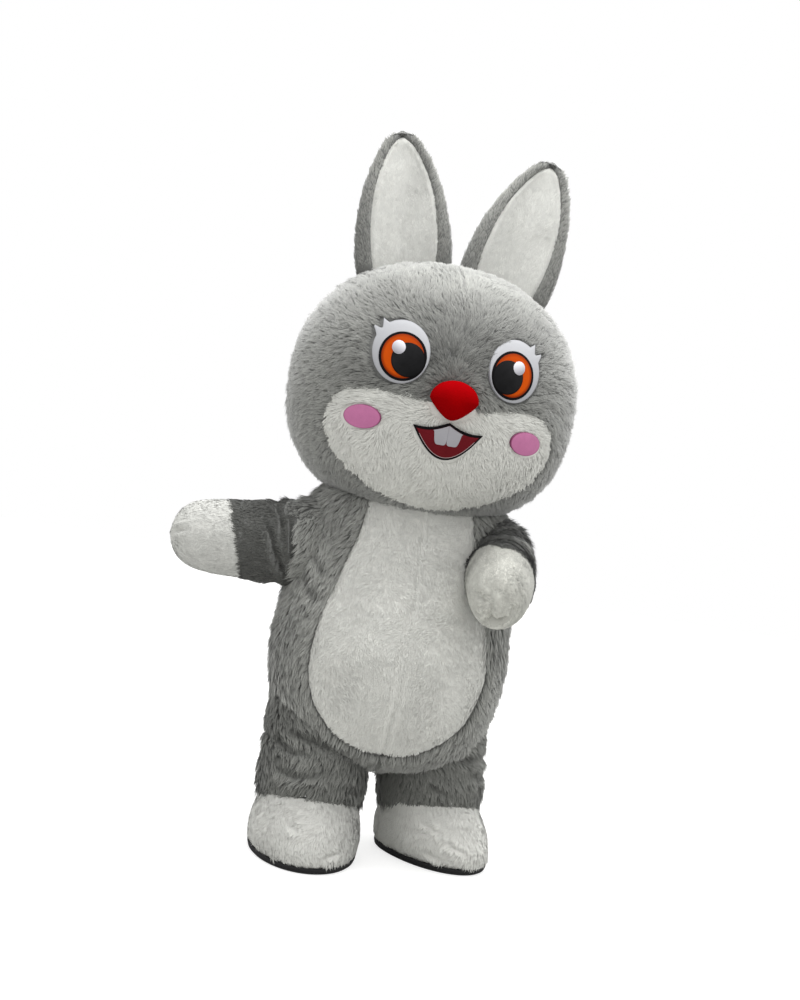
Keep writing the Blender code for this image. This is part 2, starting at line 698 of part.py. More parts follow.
def build_mouth(shell):
    rim, inner_rim, inside = (mouth_outline(shrink) for shrink in (0, LINE_WIDTH, LINE_WIDTH + SEAM))
    side = TOOTH_WIDTH + 2 * SEAM
    low, high = TOOTH_MIDDLE - TOOTH_HEIGHT / 2, TOOTH_MIDDLE + TOOTH_HEIGHT / 2
    narrow = side * tooth_share(-1)
    both_teeth = [(-narrow, low), (narrow, low), (side, high), (-side, high)]
    face_piece("mouth_line", shell, TRIM_THICKNESS, LINE_BLACK, [rim], [inner_rim])
    face_piece("mouth_inside", shell, TRIM_THICKNESS, MOUTH_RED, [inside], [both_teeth])
    for side, sign in (("right", -1), ("left", 1)):
        outline = tooth_outline(sign * (TOOTH_WIDTH / 2 + SEAM), TOOTH_WIDTH / 2)
        face_piece(f"tooth_{side}", shell, TRIM_THICKNESS, TOOTH_WHITE, [outline, inside])


def build_head():
    rings = head_rings()
    crown = (0, 0, HEAD_CENTRE + HEAD_HALF_HEIGHT - CARRY_HEIGHT)
    head_mesh = loft("head", rings, end=crown)
    half = SEAM / 2
    outline = closed_outline(MUZZLE)
    hole = add_cutter("muzzle_hole", prism("muzzle_hole", grown_outline(outline, half), -FAR, 0))
    shape = add_cutter("muzzle_shape", prism("muzzle_shape", grown_outline(outline, -half), -FAR, 0))
    for side, sign in (("right", -1), ("left", 1)):
        xs = sorted((sign * half, sign * FAR))
        front = box("front", (xs[0], -FAR, -FAR), (xs[1], CROWN_SEAM - half, FAR))
        front_cutter = add_cutter(f"head_front_side_{side}", front)
        panel = add_piece(f"head_front_{side}", head_mesh, GREY_FUR)
        thicken(panel)
        keep_inside(panel, front_cutter)
        cut(panel, hole)
        back = box("back", (xs[0], CROWN_SEAM + half, -FAR), (xs[1], FAR, FAR))
        back_cutter = add_cutter(f"head_back_side_{side}", back)
        panel = add_piece(f"head_back_{side}", head_mesh, GREY_FUR)
        thicken(panel)
        keep_inside(panel, back_cutter)
    muzzle = add_piece("muzzle", head_mesh, WHITE_FUR)
    thicken(muzzle)
    keep_inside(muzzle, shape)


def ear_point(side, across, deep, along):
    """A point of an ear's own frame in the costume's: the ear leans out from its base."""
    place = EAR_PLACE[side]
    cos, sin = math.cos(place.splay), math.sin(place.splay)
    height = place.height - across * sin + along * cos
    return (place.x + across * cos + along * sin, place.y + deep, height - CARRY_HEIGHT)


def ear_rings(side):
    rings = []
    for row in EAR:
        ring = []
        for angle in angles(EAR_AROUND):
            across, deep = row.half_width * math.cos(angle), row.back * math.sin(angle)
            if math.sin(angle) < 0:
                dish = EAR_DISH + (1 - EAR_DISH) * math.cos(angle) ** 2
                deep = row.front * math.sin(angle) * dish
            ring.append(ear_point(side, across, deep, row.along))
        rings.append(ring)
    return np.array(rings)


def inner_ear_outline():
    """The plush panel's outline in the ear's own frame, anticlockwise from its foot."""
    rows = [row for row in EAR if row.inner > 0]
    right = [(row.inner, row.along) for row in rows]
    left = [(-across, along) for across, along in reversed(right)]
    return right + [(0, rows[-1].along + EAR_INNER_TIP)] + left


def build_ears():
    head_solid = bpy.data.objects["head_solid"]
    for side in ("right", "left"):
        mesh = loft("ear", ear_rings(side), end=ear_point(side, 0, 0, EAR_LENGTH))
        panels = {}
        for name, grow in (("hole", SEAM / 2), ("shape", -SEAM / 2)):
            placed = []
            for across, along in grown_outline(inner_ear_outline(), grow):
                x, _, z = ear_point(side, across, 0, along)
                placed.append((x, z + CARRY_HEIGHT))
            panel = prism(name, placed, -FAR, EAR_PLACE[side].y)
            panels[name] = add_cutter(f"ear_{name}_{side}", panel)
        back = add_piece(f"ear_back_{side}", mesh, GREY_FUR)
        thicken(back)
        cut(back, panels["hole"], head_solid)
        inner = add_piece(f"ear_inner_{side}", mesh, EAR_PLUSH)
        thicken(inner)
        keep_inside(inner, panels["shape"])
        cut(inner, head_solid)


def main():
    for found in list(bpy.data.objects):
        bpy.data.objects.remove(found)
    new_collection("rabbit_costume")
    new_collection("cutters")
    crown = (0, 0, HEAD_CENTRE + HEAD_HALF_HEIGHT - CARRY_HEIGHT)
    add_cutter("head_solid", filled("head_solid", head_rings(), SEAM, tip=crown))
    build_suit()
    build_head()
    build_ears()
    build_face()


main()
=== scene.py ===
import math

import bmesh
import bpy
import numpy as np
from mathutils import Matrix, Vector
from mathutils.kdtree import KDTree


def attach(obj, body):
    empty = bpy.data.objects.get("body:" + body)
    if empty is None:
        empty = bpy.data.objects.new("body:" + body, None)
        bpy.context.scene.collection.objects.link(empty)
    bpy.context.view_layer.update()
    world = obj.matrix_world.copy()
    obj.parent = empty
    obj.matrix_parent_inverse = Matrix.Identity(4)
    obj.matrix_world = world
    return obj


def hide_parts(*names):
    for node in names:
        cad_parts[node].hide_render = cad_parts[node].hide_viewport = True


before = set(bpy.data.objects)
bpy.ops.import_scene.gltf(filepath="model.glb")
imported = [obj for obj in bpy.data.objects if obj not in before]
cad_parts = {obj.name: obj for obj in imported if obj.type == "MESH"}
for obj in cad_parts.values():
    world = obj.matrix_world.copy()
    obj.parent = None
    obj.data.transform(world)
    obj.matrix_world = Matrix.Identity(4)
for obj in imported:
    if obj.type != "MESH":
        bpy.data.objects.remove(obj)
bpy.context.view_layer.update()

neckHeight = 1.005  # tables hold heights above the floor; the frame's origin is the neck opening
seamGap = 0.0003
clothThickness = 0.0025
dice = np.random.default_rng(23)
sides = {"right": -1, "left": 1}  # of the wearer, and the way along X


# smooth forms, as grids of points
def curveThrough(rows, at):
    # every column of a table, read between its rows on a smooth curve through them
    table = np.array(rows, float)
    ends = np.vstack([2 * table[0] - table[1], table, 2 * table[-1] - table[-2]])
    at = np.asarray(at, float)
    i = np.clip(at.astype(int), 0, len(table) - 2)
    t = (at - i)[..., None]
    before, start, end, after = (ends[i + k] for k in range(4))
    bend = 2 * before - 5 * start + 4 * end - after
    twist = -before + 3 * start - 3 * end + after
    found = start + 0.5 * ((end - before) * t + bend * t**2 + twist * t**3)
    return np.moveaxis(found, -1, 0)


def point(x, y, height):
    return np.stack([x, y, height - neckHeight], -1)


def evenRows(surface, low, high, count, angle=-math.pi / 2):
    # row places a like distance apart on the form
    fine = np.linspace(low, high, 400)
    line = surface(fine, np.full(400, angle))
    far = np.concatenate([[0], np.cumsum(np.linalg.norm(np.diff(line, axis=0), axis=1))])
    return np.interp(np.linspace(0, far[-1], count), far, fine)


def gridOn(surface, rows, start, end, columns):
    # start and end are angles, one for all the rows or one for each
    share = np.linspace(0, 1, columns)
    start = np.broadcast_to(start, rows.shape)[:, None]
    end = np.broadcast_to(end, rows.shape)[:, None]
    around = start * (1 - share) + end * share
    return surface(np.broadcast_to(rows[:, None], around.shape), around)


def unit(vectors):
    return vectors / np.maximum(np.linalg.norm(vectors, axis=-1, keepdims=True), 1e-9)


def normalsOf(grid):
    around, along = np.gradient(grid, axis=1), np.gradient(grid, axis=0)
    if np.abs(grid[:, 0] - grid[:, -1]).max() < 1e-6:  # it closes round on itself
        around[:, 0] = around[:, -1] = grid[:, 1] - grid[:, -2]
        along[:, 0] = along[:, -1]
    found = np.cross(around, along)
    for row, inner in ((0, 1), (-1, -2)):  # a row that closes to a point takes its neighbour's
        if np.linalg.norm(found[row], axis=-1).max() < 1e-3 * np.linalg.norm(found[inner], axis=-1).max():
            found[row] = found[inner].mean(0)
    return unit(found)


def nearestOnLine(points, line):
    # distance to a line of points, and how far along it the nearest one is, from 0 to 1
    flat = points.reshape(-1, 3)
    best = np.full(len(flat), 9.0)
    place = np.zeros(len(flat))
    for i, spot in enumerate(line):
        far = np.linalg.norm(flat - spot, axis=1)
        closer = far < best
        best[closer] = far[closer]
        place[closer] = i / (len(line) - 1)
    return best.reshape(points.shape[:-1]), place.reshape(points.shape[:-1])


def lineOn(surface, stops, count=30):
    # a line on a form, through (row, angle in degrees) stops
    stops = np.array(stops, float)
    at = np.linspace(0, len(stops) - 1, count)
    rows = np.interp(at, range(len(stops)), stops[:, 0])
    return surface(rows, np.radians(np.interp(at, range(len(stops)), stops[:, 1])))


def fadeOut(place, ends):
    # how deep a crease is along its length, from 0 to 1; it never fades where ends is 0
    return np.sin(np.pi * np.clip(place, 0.02, 0.98)) ** ends


def hump(far, width):
    return np.exp(-((far / width) ** 2))


creaseLip = dict(height=0.35, at=2)  # the low lip either side of a crease, beside its trough


def creasesOn(surface, table, deeper=1.0, ends=0.6):
    # a table of (stops, width, depth), laid on a form
    return [(lineOn(surface, stops), width, deeper * depth, ends) for stops, width, depth in table]


def pileFolds(creases, deeper, wider=1.0):
    # the creases of the cloth, as they show in its pile: painted shade in their troughs and painted highlight
    # beside them
    return [(line, width * wider, depth * deeper, ends) for line, width, depth, ends in creases]


def sunk(grid, pile, creases=()):
    # the backing lies a pile's depth under the fur's outer surface, and deeper in its creases
    down = np.full(grid.shape[:2], pile)
    for line, width, depth, ends in creases:
        far, place = nearestOnLine(grid, line)
        trough = hump(far, width) - creaseLip["height"] * hump(far - creaseLip["at"] * width, width)
        down = down + depth * fadeOut(place, ends) * trough
    found = grid - normalsOf(grid) * down[..., None]
    if np.abs(grid[:, 0] - grid[:, -1]).max() < 1e-6:
        found[:, -1] = found[:, 0]
    return found


# meshes and objects
def newObject(name, data):
    made = bpy.data.objects.new(name, data)
    bpy.context.scene.collection.objects.link(made)
    return made


def meshFrom(name, points, faces):
    mesh = bpy.data.meshes.new(name)
    mesh.from_pydata(points, [], faces)
    return mesh


def edited(mesh, edit):
    bm = bmesh.new()
    bm.from_mesh(mesh)
    edit(bm)
    bm.to_mesh(mesh)
    bm.free()
    return mesh


def evenNormals(bm):
    bmesh.ops.recalc_face_normals(bm, faces=bm.faces)


def weld(bm):
    bmesh.ops.remove_doubles(bm, verts=bm.verts, dist=2e-5)
    bmesh.ops.dissolve_degenerate(bm, edges=bm.edges, dist=1e-6)


def setPoints(mesh, kind, field, values):
    # one value of each name for every point of the mesh
    for label, found in values.items():
        put = mesh.attributes.new(label, kind, "POINT")
        put.data.foreach_set(field, np.asarray(found, np.float32).ravel())


def sheetMesh(name, grid, **values):
    rows, columns = grid.shape[:2]
    index = np.arange(rows * columns).reshape(rows, columns)
    quads = np.stack([index[:-1, :-1], index[:-1, 1:], index[1:, 1:], index[1:, :-1]], -1)
    mesh = meshFrom(name, grid.reshape(-1, 3).tolist(), quads.reshape(-1, 4).tolist())
    setPoints(mesh, "FLOAT", "value", values)
    return edited(mesh, weld)


def capped(grid):
    # both ends of a tube are closed by a point in their middle
    return np.concatenate([grid[:1] * 0 + grid[0].mean(0), grid, grid[:1] * 0 + grid[-1].mean(0)])


def closedFrom(name, grid, grow):
    # the closed solid inside a grid, which cuts other cloth
    full = capped(grid)
    full[1:-1] += normalsOf(grid) * grow
    return newObject(name, sheetMesh(name, full))


def prism(name, outline, start=-2.0, deep=2.0):
    # an outline of (x, height) points, run back from where it starts
    def extrude(bm):
        face = bm.faces.new([bm.verts.new((x, start, height - neckHeight)) for x, height in outline])
        extruded = bmesh.ops.extrude_face_region(bm, geom=[face])["geom"]
        moved = [item for item in extruded if isinstance(item, bmesh.types.BMVert)]
        bmesh.ops.translate(bm, vec=(0, deep, 0), verts=moved)
        evenNormals(bm)

    return newObject(name, edited(bpy.data.meshes.new(name), extrude))


def grownOutline(outline, grow):
    points = np.array(outline, float)
    along = np.roll(points, -1, axis=0) - np.roll(points, 1, axis=0)
    out = unit(np.stack([along[:, 1], -along[:, 0]], axis=1))
    return points + grow * out


def insideOutline(points, outline):
    # which of the points lie inside an outline of (x, height), counted by crossings
    x, height = points[:, 0], points[:, 2] + neckHeight
    inside = np.zeros(len(points), bool)
    last = outline[-1]
    for here in outline:
        crosses = (here[1] > height) != (last[1] > height)
        at = (last[0] - here[0]) * (height - here[1]) / (last[1] - here[1] + 1e-12) + here[0]
        inside ^= crosses & (x < at)
        last = here
    return inside


dressing = {}  # what lies on each panel


def declare(made, material, node=None, owners=()):
    # every piece rides on the one body; some stand for a node, and some lie on panels
    made.data.materials.append(material)
    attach(made, "root")
    if node:
        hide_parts(node)
    for owner in owners:
        dressing.setdefault(owner, []).append(made)
    return made


def smoothed(made, sharpFrom):
    made.data.shade_smooth()
    made.data.set_sharp_from_angle(angle=math.radians(sharpFrom))
    return made


def settle(made):
    # applies what stands on an object
    shape = bpy.data.meshes.new_from_object(made.evaluated_get(bpy.context.evaluated_depsgraph_get()))
    made.modifiers.clear()
    made.data = shape


def clothPanel(node, grid, material, slot, cutters=(), keep=(), name=None):
    # one cut piece of the fur's backing: a thin shell in place of its solid
    name = name or node.replace("_", "-")
    made = newObject(name, sheetMesh(name, grid))
    wall = made.modifiers.new("wall", "SOLIDIFY")
    wall.thickness = clothThickness
    wall.offset = -1
    for operation, others in (("DIFFERENCE", cutters), ("INTERSECT", keep)):
        for other in others:
            step = made.modifiers.new(other.name, "BOOLEAN")
            step.operation = operation
            step.object = other
    settle(made)
    made.data.materials.clear()
    declare(smoothed(made, 50), material, node)


# fur
waves = dict(count=7, sizes=(0.6, 1.5), phases=(0, 6.3), total=2.6)


def wobble(points, size, seed):
    # smooth noise in space, about -1 to 1, with bumps of that size
    draw = np.random.default_rng(seed)
    total = np.zeros(len(points))
    for _ in range(waves["count"]):
        way = unit(draw.normal(size=3)) * 2 * np.pi / size * draw.uniform(*waves["sizes"])
        total += np.sin(points @ way + draw.uniform(*waves["phases"]))
    return total / waves["total"]


# steps that spread points evenly over a cell, how far they stray, and a share for quick work that is not used
sowing = dict(steps=(0.7548776662, 0.5698402910), stray=0.08, quickShare=0.3)


def scatter(grid, perMetre):
    # roots spread evenly over a grid: (points, normals)
    normals = normalsOf(grid)
    a, b, c, d = grid[:-1, :-1], grid[:-1, 1:], grid[1:, 1:], grid[1:, :-1]
    area = np.linalg.norm(np.cross(c - a, d - b), axis=-1).ravel() / 2
    share = 1
    upTo = np.floor(np.concatenate([[0], np.cumsum(area * perMetre * share)]) + dice.random())
    cell = np.repeat(np.arange(len(area)), np.diff(upTo).astype(int))
    k = np.arange(len(cell))
    s, t = (((k * step + dice.random()) % 1)[:, None] for step in sowing["steps"])
    s, t = (np.clip(place + dice.normal(0, sowing["stray"], place.shape), 0, 1) for place in (s, t))

    def between(values):
        corners = (values[:-1, :-1], values[:-1, 1:], values[1:, 1:], values[1:, :-1])
        one, two, three, four = (corner.reshape(-1, 3)[cell] for corner in corners)
        return (one * (1 - s) + two * s) * (1 - t) + (four * (1 - s) + three * s) * t

    return between(grid), unit(between(normals))


def turned(vectors, axes, angle):
    angle = angle[:, None]
    return vectors * np.cos(angle) + np.cross(axes, vectors) * np.sin(angle)


# every lock is two triangles: its root, its two sides where it is widest, and its tip
lock = dict(
    shares=(0, 0.45, 0.45, 1), bows=(0, -0.35, 0.35, 0), corners=(0, 2, 1, 1, 2, 3), sunk=0.0015, belly=0.42,
    lengths=(0.65, 1.3), lifts=(0.55, 1.45), widths=(0.7, 1.3), twist=0.35, swing=0.18, swingSize=0.05,
)
tuft = dict(pulls=(0.6, 1.1), reach=1.05, own=0.45, tone=0.5)
# painted shade in a fold's trough and painted highlight on its lips, and the range every lock's tone is
# clipped to
foldShading = dict(dark=2.4, pale=0.8, paleAt=2.2, fullDepth=0.01, toneRange=(-2.6, 2.0))


def lockMesh(name, shape):
    # shape holds the four points of each lock
    count, perLock = shape.shape[:2]
    base = np.arange(count)[:, None]
    mesh = bpy.data.meshes.new(name)
    mesh.vertices.add(count * perLock)
    mesh.vertices.foreach_set("co", shape.astype(np.float32).ravel())
    mesh.loops.add(count * 6)
    mesh.loops.foreach_set("vertex_index", (base * perLock + lock["corners"]).astype(np.int32).ravel())
    mesh.polygons.add(count * 2)
    mesh.polygons.foreach_set("loop_start", (base * 6 + [0, 3]).astype(np.int32).ravel())
    mesh.update(calc_edges=True)
    mesh.shade_smooth()
    return mesh


def growFur(name, roots, normals, comb, look, material, owners, trim=1.0, paintedLight=0.0, folds=()):
    # a joined mesh of bent, tapered locks; comb is the way that they lie, trim shortens them,
    # the painted light and shade make places paler or darker, and along the folds the pile parts,
    # with painted shade in each trough and painted highlight on its lips
    count = len(roots)
    along = unit(comb - (comb * normals).sum(1)[:, None] * normals)
    spin = look["swirl"] * wobble(roots, look["swirlSize"], 5) + dice.normal(0, look["ruffle"], count)
    along = turned(along, normals, spin)
    swing = 1 + lock["swing"] * wobble(roots, lock["swingSize"], 9)
    length = look["length"] * dice.uniform(*lock["lengths"], count) * swing * trim
    lift = math.radians(look["lift"]) * dice.uniform(*lock["lifts"], count)
    reach = along * np.cos(lift)[:, None] + normals * np.sin(lift)[:, None]
    tips = roots + length[:, None] * reach
    tone = dice.normal(0, tuft["tone"], count)
    # each lock's tip is drawn towards the tip of one nearby
    centres = dice.permutation(count)[: max(1, count // look["tuft"])]
    tree = KDTree(len(centres))
    for i, centre in enumerate(centres):
        tree.insert(roots[centre], i)
    tree.balance()
    nearest = centres[[tree.find(root)[1] for root in roots]]
    pull = (look["gather"] * dice.uniform(*tuft["pulls"], count))[:, None]
    meet = roots[nearest] + (length * tuft["reach"])[:, None] * reach[nearest]
    tips = tips * (1 - pull) + meet * pull
    tips[:, 2] = np.maximum(tips[:, 2], 0.001 - neckHeight)  # none reaches through the floor
    tone = tuft["own"] * tone + (1 - tuft["own"]) * tone[nearest] + paintedLight
    # painted shade along each fold's trough, and painted highlight on its lips
    for line, width, depth, ends in folds:
        far, place = nearestOnLine(roots + 0.5 * (tips - roots), line)
        lips = foldShading["pale"] * hump(far - foldShading["paleAt"] * width, width)
        fade = depth / foldShading["fullDepth"] * fadeOut(place, ends)
        tone += fade * (lips - foldShading["dark"] * hump(far, width))
    start = roots - normals * lock["sunk"]
    bulge = roots + lock["belly"] * (tips - roots) + normals * (length * look["bulge"])[:, None]
    side = turned(unit(np.cross(along, normals)), along, dice.normal(0, lock["twist"], count))
    shift = side * (look["width"] / 2 * dice.uniform(*lock["widths"], count))[:, None]
    share = lock["shares"][1]
    middle = (1 - share) ** 2 * start + 2 * share * (1 - share) * bulge + share**2 * tips
    mesh = lockMesh(name, np.stack([start, middle - shift, middle + shift, tips], 1))
    # light falls on a lock mostly as on the form under it
    lean = unit(np.cross(side, tips - roots))
    soft = unit(normals * look["softness"] + lean * (1 - look["softness"]))
    bent = unit(soft[:, None, :] + side[:, None, :] * look["bow"] * np.array(lock["bows"])[None, :, None])
    setPoints(mesh, "FLOAT_VECTOR", "vector", {"custom_normal": bent, "lieNormal": bent})
    values = {
        "rootToTip": np.tile(lock["shares"], count),
        "acrossLock": np.tile(np.sign(lock["bows"]), count),
        "lockTone": np.repeat(np.clip(tone, *foldShading["toneRange"]), 4),
    }
    setPoints(mesh, "FLOAT", "value", values)
    declare(newObject(name, mesh), material, owners=owners)
    print(name, count, "locks,", 2 * count, "triangles")


# materials: shared effects are groups, and the shaders stay in the materials
def asSocket(value):
    return (*value, 1) if isinstance(value, tuple) else value


def newGroup(name, inputs, outputs):
    # a colour is given as three numbers; returns the group, what it is given and what it gives
    group = bpy.data.node_groups.new(name, "ShaderNodeTree")
    for label, value in inputs.items():
        kind = "NodeSocketColor" if isinstance(value, tuple) else "NodeSocketFloat"
        group.interface.new_socket(label, in_out="INPUT", socket_type=kind).default_value = asSocket(value)
    kinds = {"Color": "NodeSocketColor", "Normal": "NodeSocketVector"}
    for label in outputs:
        kind = kinds.get(label, "NodeSocketFloat")
        group.interface.new_socket(label, in_out="OUTPUT", socket_type=kind)
    return group, group.nodes.new("NodeGroupInput").outputs, group.nodes.new("NodeGroupOutput").inputs


def addNode(tree, kind, **settings):
    node = tree.nodes.new(kind)
    for key, value in settings.items():
        setattr(node, key, value)
    return node


def feed(tree, value, socket):
    # a number is set, and a node's output is linked
    if isinstance(value, (int, float)):
        socket.default_value = value
    else:
        tree.links.new(value, socket)


def mathNode(tree, operation, first, second, clamp=False):
    node = addNode(tree, "ShaderNodeMath", operation=operation, use_clamp=clamp)
    feed(tree, first, node.inputs[0])
    feed(tree, second, node.inputs[1])
    return node.outputs[0]


def plus(tree, first, second, clamp=False):
    return mathNode(tree, "ADD", first, second, clamp)


def times(tree, first, second):
    return mathNode(tree, "MULTIPLY", first, second)


def noiseNode(tree, place, scale, detail, roughness=0.55):
    node = addNode(tree, "ShaderNodeTexNoise")
    for label, value in (("Vector", place), ("Scale", scale), ("Detail", detail), ("Roughness", roughness)):
        feed(tree, value, node.inputs[label])
    return node.outputs["Fac"]


def readPoint(tree, label, output="Fac"):
    return addNode(tree, "ShaderNodeAttribute", attribute_name=label).outputs[output]


def objectPlace(tree):
    return addNode(tree, "ShaderNodeTexCoord").outputs["Object"]


def mixColour(tree, factor, first, second):
    node = addNode(tree, "ShaderNodeMix", data_type="RGBA")
    for i, value in ((0, factor), (6, first), (7, second)):
        feed(tree, value, node.inputs[i])
    return node.outputs[2]


def brighter(tree, colour, gain):
    node = addNode(tree, "ShaderNodeVectorMath", operation="SCALE")
    feed(tree, colour, node.inputs[0])
    feed(tree, gain, node.inputs["Scale"])
    return node.outputs[0]


def furShadeGroup():
    # a lock is dark at its root and pale at its tip, and tufts and patches differ
    inputs = {"Root": (0.1, 0.1, 0.1), "Tip": (0.5, 0.5, 0.5), "Patch Scale": 7.0, "Variation": 0.3}
    inputs["Roughness"] = 0.8
    group, given, out = newGroup("furShade", inputs, ("Color", "Roughness", "Normal"))
    along, across, tone = (readPoint(group, label) for label in ("rootToTip", "acrossLock", "lockTone"))
    patches = noiseNode(group, objectPlace(group), given["Patch Scale"], 2.0)
    strand = addNode(group, "ShaderNodeCombineXYZ")
    for socket, value, scale in (("X", across, 1.6), ("Y", along, 0.7), ("Z", tone, 23.0)):
        feed(group, times(group, value, scale), strand.inputs[socket])
    hairs = plus(group, noiseNode(group, strand.outputs[0], 2.0, 2.0), -0.5)
    rise = plus(group, mathNode(group, "POWER", along, 0.75), times(group, hairs, 0.7), clamp=True)
    swing = plus(group, plus(group, patches, -0.5), times(group, tone, 0.45))
    gain = plus(group, times(group, swing, given["Variation"]), 1.0)
    feed(group, brighter(group, mixColour(group, rise, given["Root"], given["Tip"]), gain), out["Color"])
    feed(group, plus(group, times(group, tone, 0.06), given["Roughness"], clamp=True), out["Roughness"])
    # both faces of a lock are lit as its outer one
    spaces = dict(vector_type="NORMAL", convert_from="OBJECT", convert_to="WORLD")
    world = addNode(group, "ShaderNodeVectorTransform", **spaces)
    feed(group, readPoint(group, "lieNormal", "Vector"), world.inputs[0])
    feed(group, world.outputs[0], out["Normal"])
    return group


def clothGrainGroup():
    # felt, plush backing and flock: fine fibres, faint mottling and a bump to match
    inputs = {"Color": (0.5, 0.5, 0.5), "Fibre Scale": 900.0, "Mottle Scale": 25.0, "Variation": 0.2}
    inputs["Roughness"] = 0.85
    group, given, out = newGroup("clothGrain", inputs, ("Color", "Roughness", "Height"))
    place = objectPlace(group)
    fibres = noiseNode(group, place, given["Fibre Scale"], 4.0, 0.7)
    mottle = noiseNode(group, place, given["Mottle Scale"], 3.0)
    both = plus(group, times(group, fibres, 0.5), times(group, mottle, 0.5))
    swing = times(group, plus(group, both, -0.5), given["Variation"])
    gain = plus(group, times(group, swing, 2.0), 1.0)
    feed(group, brighter(group, given["Color"], gain), out["Color"])
    feed(group, plus(group, given["Roughness"], times(group, swing, 0.5), clamp=True), out["Roughness"])
    feed(group, fibres, out["Height"])
    return group


def plateTintGroup():
    # a trimmed piece: its edge has a colour of its own, one side a colour of painted light and shade (the
    # glint's is its printed gradient), and a fine grain
    inputs = {
        "Color": (0.5, 0.5, 0.5), "Edge": (0.3, 0.3, 0.3), "Shade": (0.4, 0.4, 0.4), "Edge Start": 0.9,
        "Grain Scale": 700.0, "Variation": 0.1, "Roughness": 0.6,
    }
    group, given, out = newGroup("plateTint", inputs, ("Color", "Roughness", "Height"))
    place = objectPlace(group)
    grain = noiseNode(group, place, given["Grain Scale"], 4.0, 0.7)
    clouds = noiseNode(group, place, 38.0, 3.0)
    edge = addNode(group, "ShaderNodeMapRange", interpolation_type="SMOOTHSTEP")
    feed(group, readPoint(group, "rimShare"), edge.inputs["Value"])
    feed(group, given["Edge Start"], edge.inputs["From Min"])
    shaded = mixColour(group, readPoint(group, "shadeShare"), given["Color"], given["Shade"])
    edged = mixColour(group, edge.outputs["Result"], shaded, given["Edge"])
    swing = times(group, plus(group, plus(group, grain, clouds), -1.0), given["Variation"])
    feed(group, brighter(group, edged, plus(group, swing, 1.0)), out["Color"])
    feed(group, plus(group, given["Roughness"], times(group, swing, 0.4), clamp=True), out["Roughness"])
    feed(group, grain, out["Height"])
    return group


furShade, clothGrain, plateTint = furShadeGroup(), clothGrainGroup(), plateTintGroup()


def newMaterial(name, group, values, sheen, specular=0.3, bump=0.0, coat=0.0):
    made = bpy.data.materials.new(name)
    made.use_nodes = True
    tree = made.node_tree
    shader = tree.nodes["Principled BSDF"].inputs
    settings = {
        "Sheen Weight": sheen, "Sheen Roughness": 0.5, "Specular IOR Level": specular,
        "Coat Weight": coat, "Coat Roughness": 0.2,
    }
    for label, value in settings.items():
        shader[label].default_value = value
    placed = addNode(tree, "ShaderNodeGroup", node_tree=group)
    for label, value in values.items():
        placed.inputs[label].default_value = asSocket(value)
    feed(tree, placed.outputs["Color"], shader["Base Color"])
    feed(tree, placed.outputs["Roughness"], shader["Roughness"])
    if "Normal" in placed.outputs:
        feed(tree, placed.outputs["Normal"], shader["Normal"])
    if bump:
        ridge = addNode(tree, "ShaderNodeBump")
        for label, value in (("Distance", bump), ("Strength", 0.6), ("Height", placed.outputs["Height"])):
            feed(tree, value, ridge.inputs[label])
        feed(tree, ridge.outputs["Normal"], shader["Normal"])
    return made


def furMaterial(name, root, tip, variation, patchScale=7.0, sheen=0.25):
    values = {"Root": root, "Tip": tip, "Patch Scale": patchScale, "Variation": variation}
    return newMaterial(name, furShade, values, sheen, specular=0.2)


def clothMaterial(
    name, colour, variation, roughness=0.85, fibre=500.0, mottle=25.0, sheen=0.2, bump=0.0006,
):
    values = {"Color": colour, "Variation": variation, "Roughness": roughness}
    values.update({"Fibre Scale": fibre, "Mottle Scale": mottle})
    return newMaterial(name, clothGrain, values, sheen, bump=bump)


def plateMaterial(
    name, colour, edge, shade, edgeStart, variation, roughness, grain=700.0,
    sheen=0.0, coat=0.0, bump=0.0002, specular=0.12,
):
    values = {"Color": colour, "Edge": edge, "Shade": shade, "Edge Start": edgeStart}
    values.update({"Grain Scale": grain, "Variation": variation, "Roughness": roughness})
    return newMaterial(name, plateTint, values, sheen, specular, bump, coat)


greyFur = furMaterial("greyFur", (0.085, 0.087, 0.082), (0.435, 0.44, 0.41), 0.48, sheen=0.45)
# a darker copy of the grey fur for the legs: painted shade under the body
legFurGrey = furMaterial("legFurGrey", (0.062, 0.064, 0.06), (0.275, 0.279, 0.258), 0.46)
# a darker copy of the grey fur for the head: painted shade, with a strong sheen that pales it seen edge-on
headFur = furMaterial("headFur", (0.078, 0.079, 0.075), (0.305, 0.309, 0.286), 0.52, sheen=1.0)
sleeveFur = furMaterial("sleeveFur", (0.05, 0.051, 0.048), (0.128, 0.13, 0.12), 0.45, sheen=0.15)
earFur = furMaterial("earFur", (0.145, 0.147, 0.139), (0.34, 0.343, 0.32), 0.36, sheen=0.6)
whiteFur = furMaterial("whiteFur", (0.76, 0.755, 0.705), (0.84, 0.845, 0.795), 0.12)
# a darker copy of the white fur, for the right foot
dimmedWhiteFur = furMaterial("dimmedWhiteFur", (0.61, 0.605, 0.565), (0.68, 0.685, 0.645), 0.12)
muzzleFur = furMaterial("muzzleFur", (0.68, 0.672, 0.622), (0.83, 0.835, 0.785), 0.14, 11.0)
plushWhite = furMaterial("plushWhite", (0.7, 0.7, 0.655), (0.77, 0.775, 0.73), 0.26, 11.0, 0.1)
# a darker, yellower copy of the pale plush for the bent mitt: a little soil, and painted shade
plushSoiledShaded = furMaterial("plushSoiledShaded", (0.485, 0.485, 0.441), (0.58, 0.583, 0.532), 0.32, 9.0, 0.1)
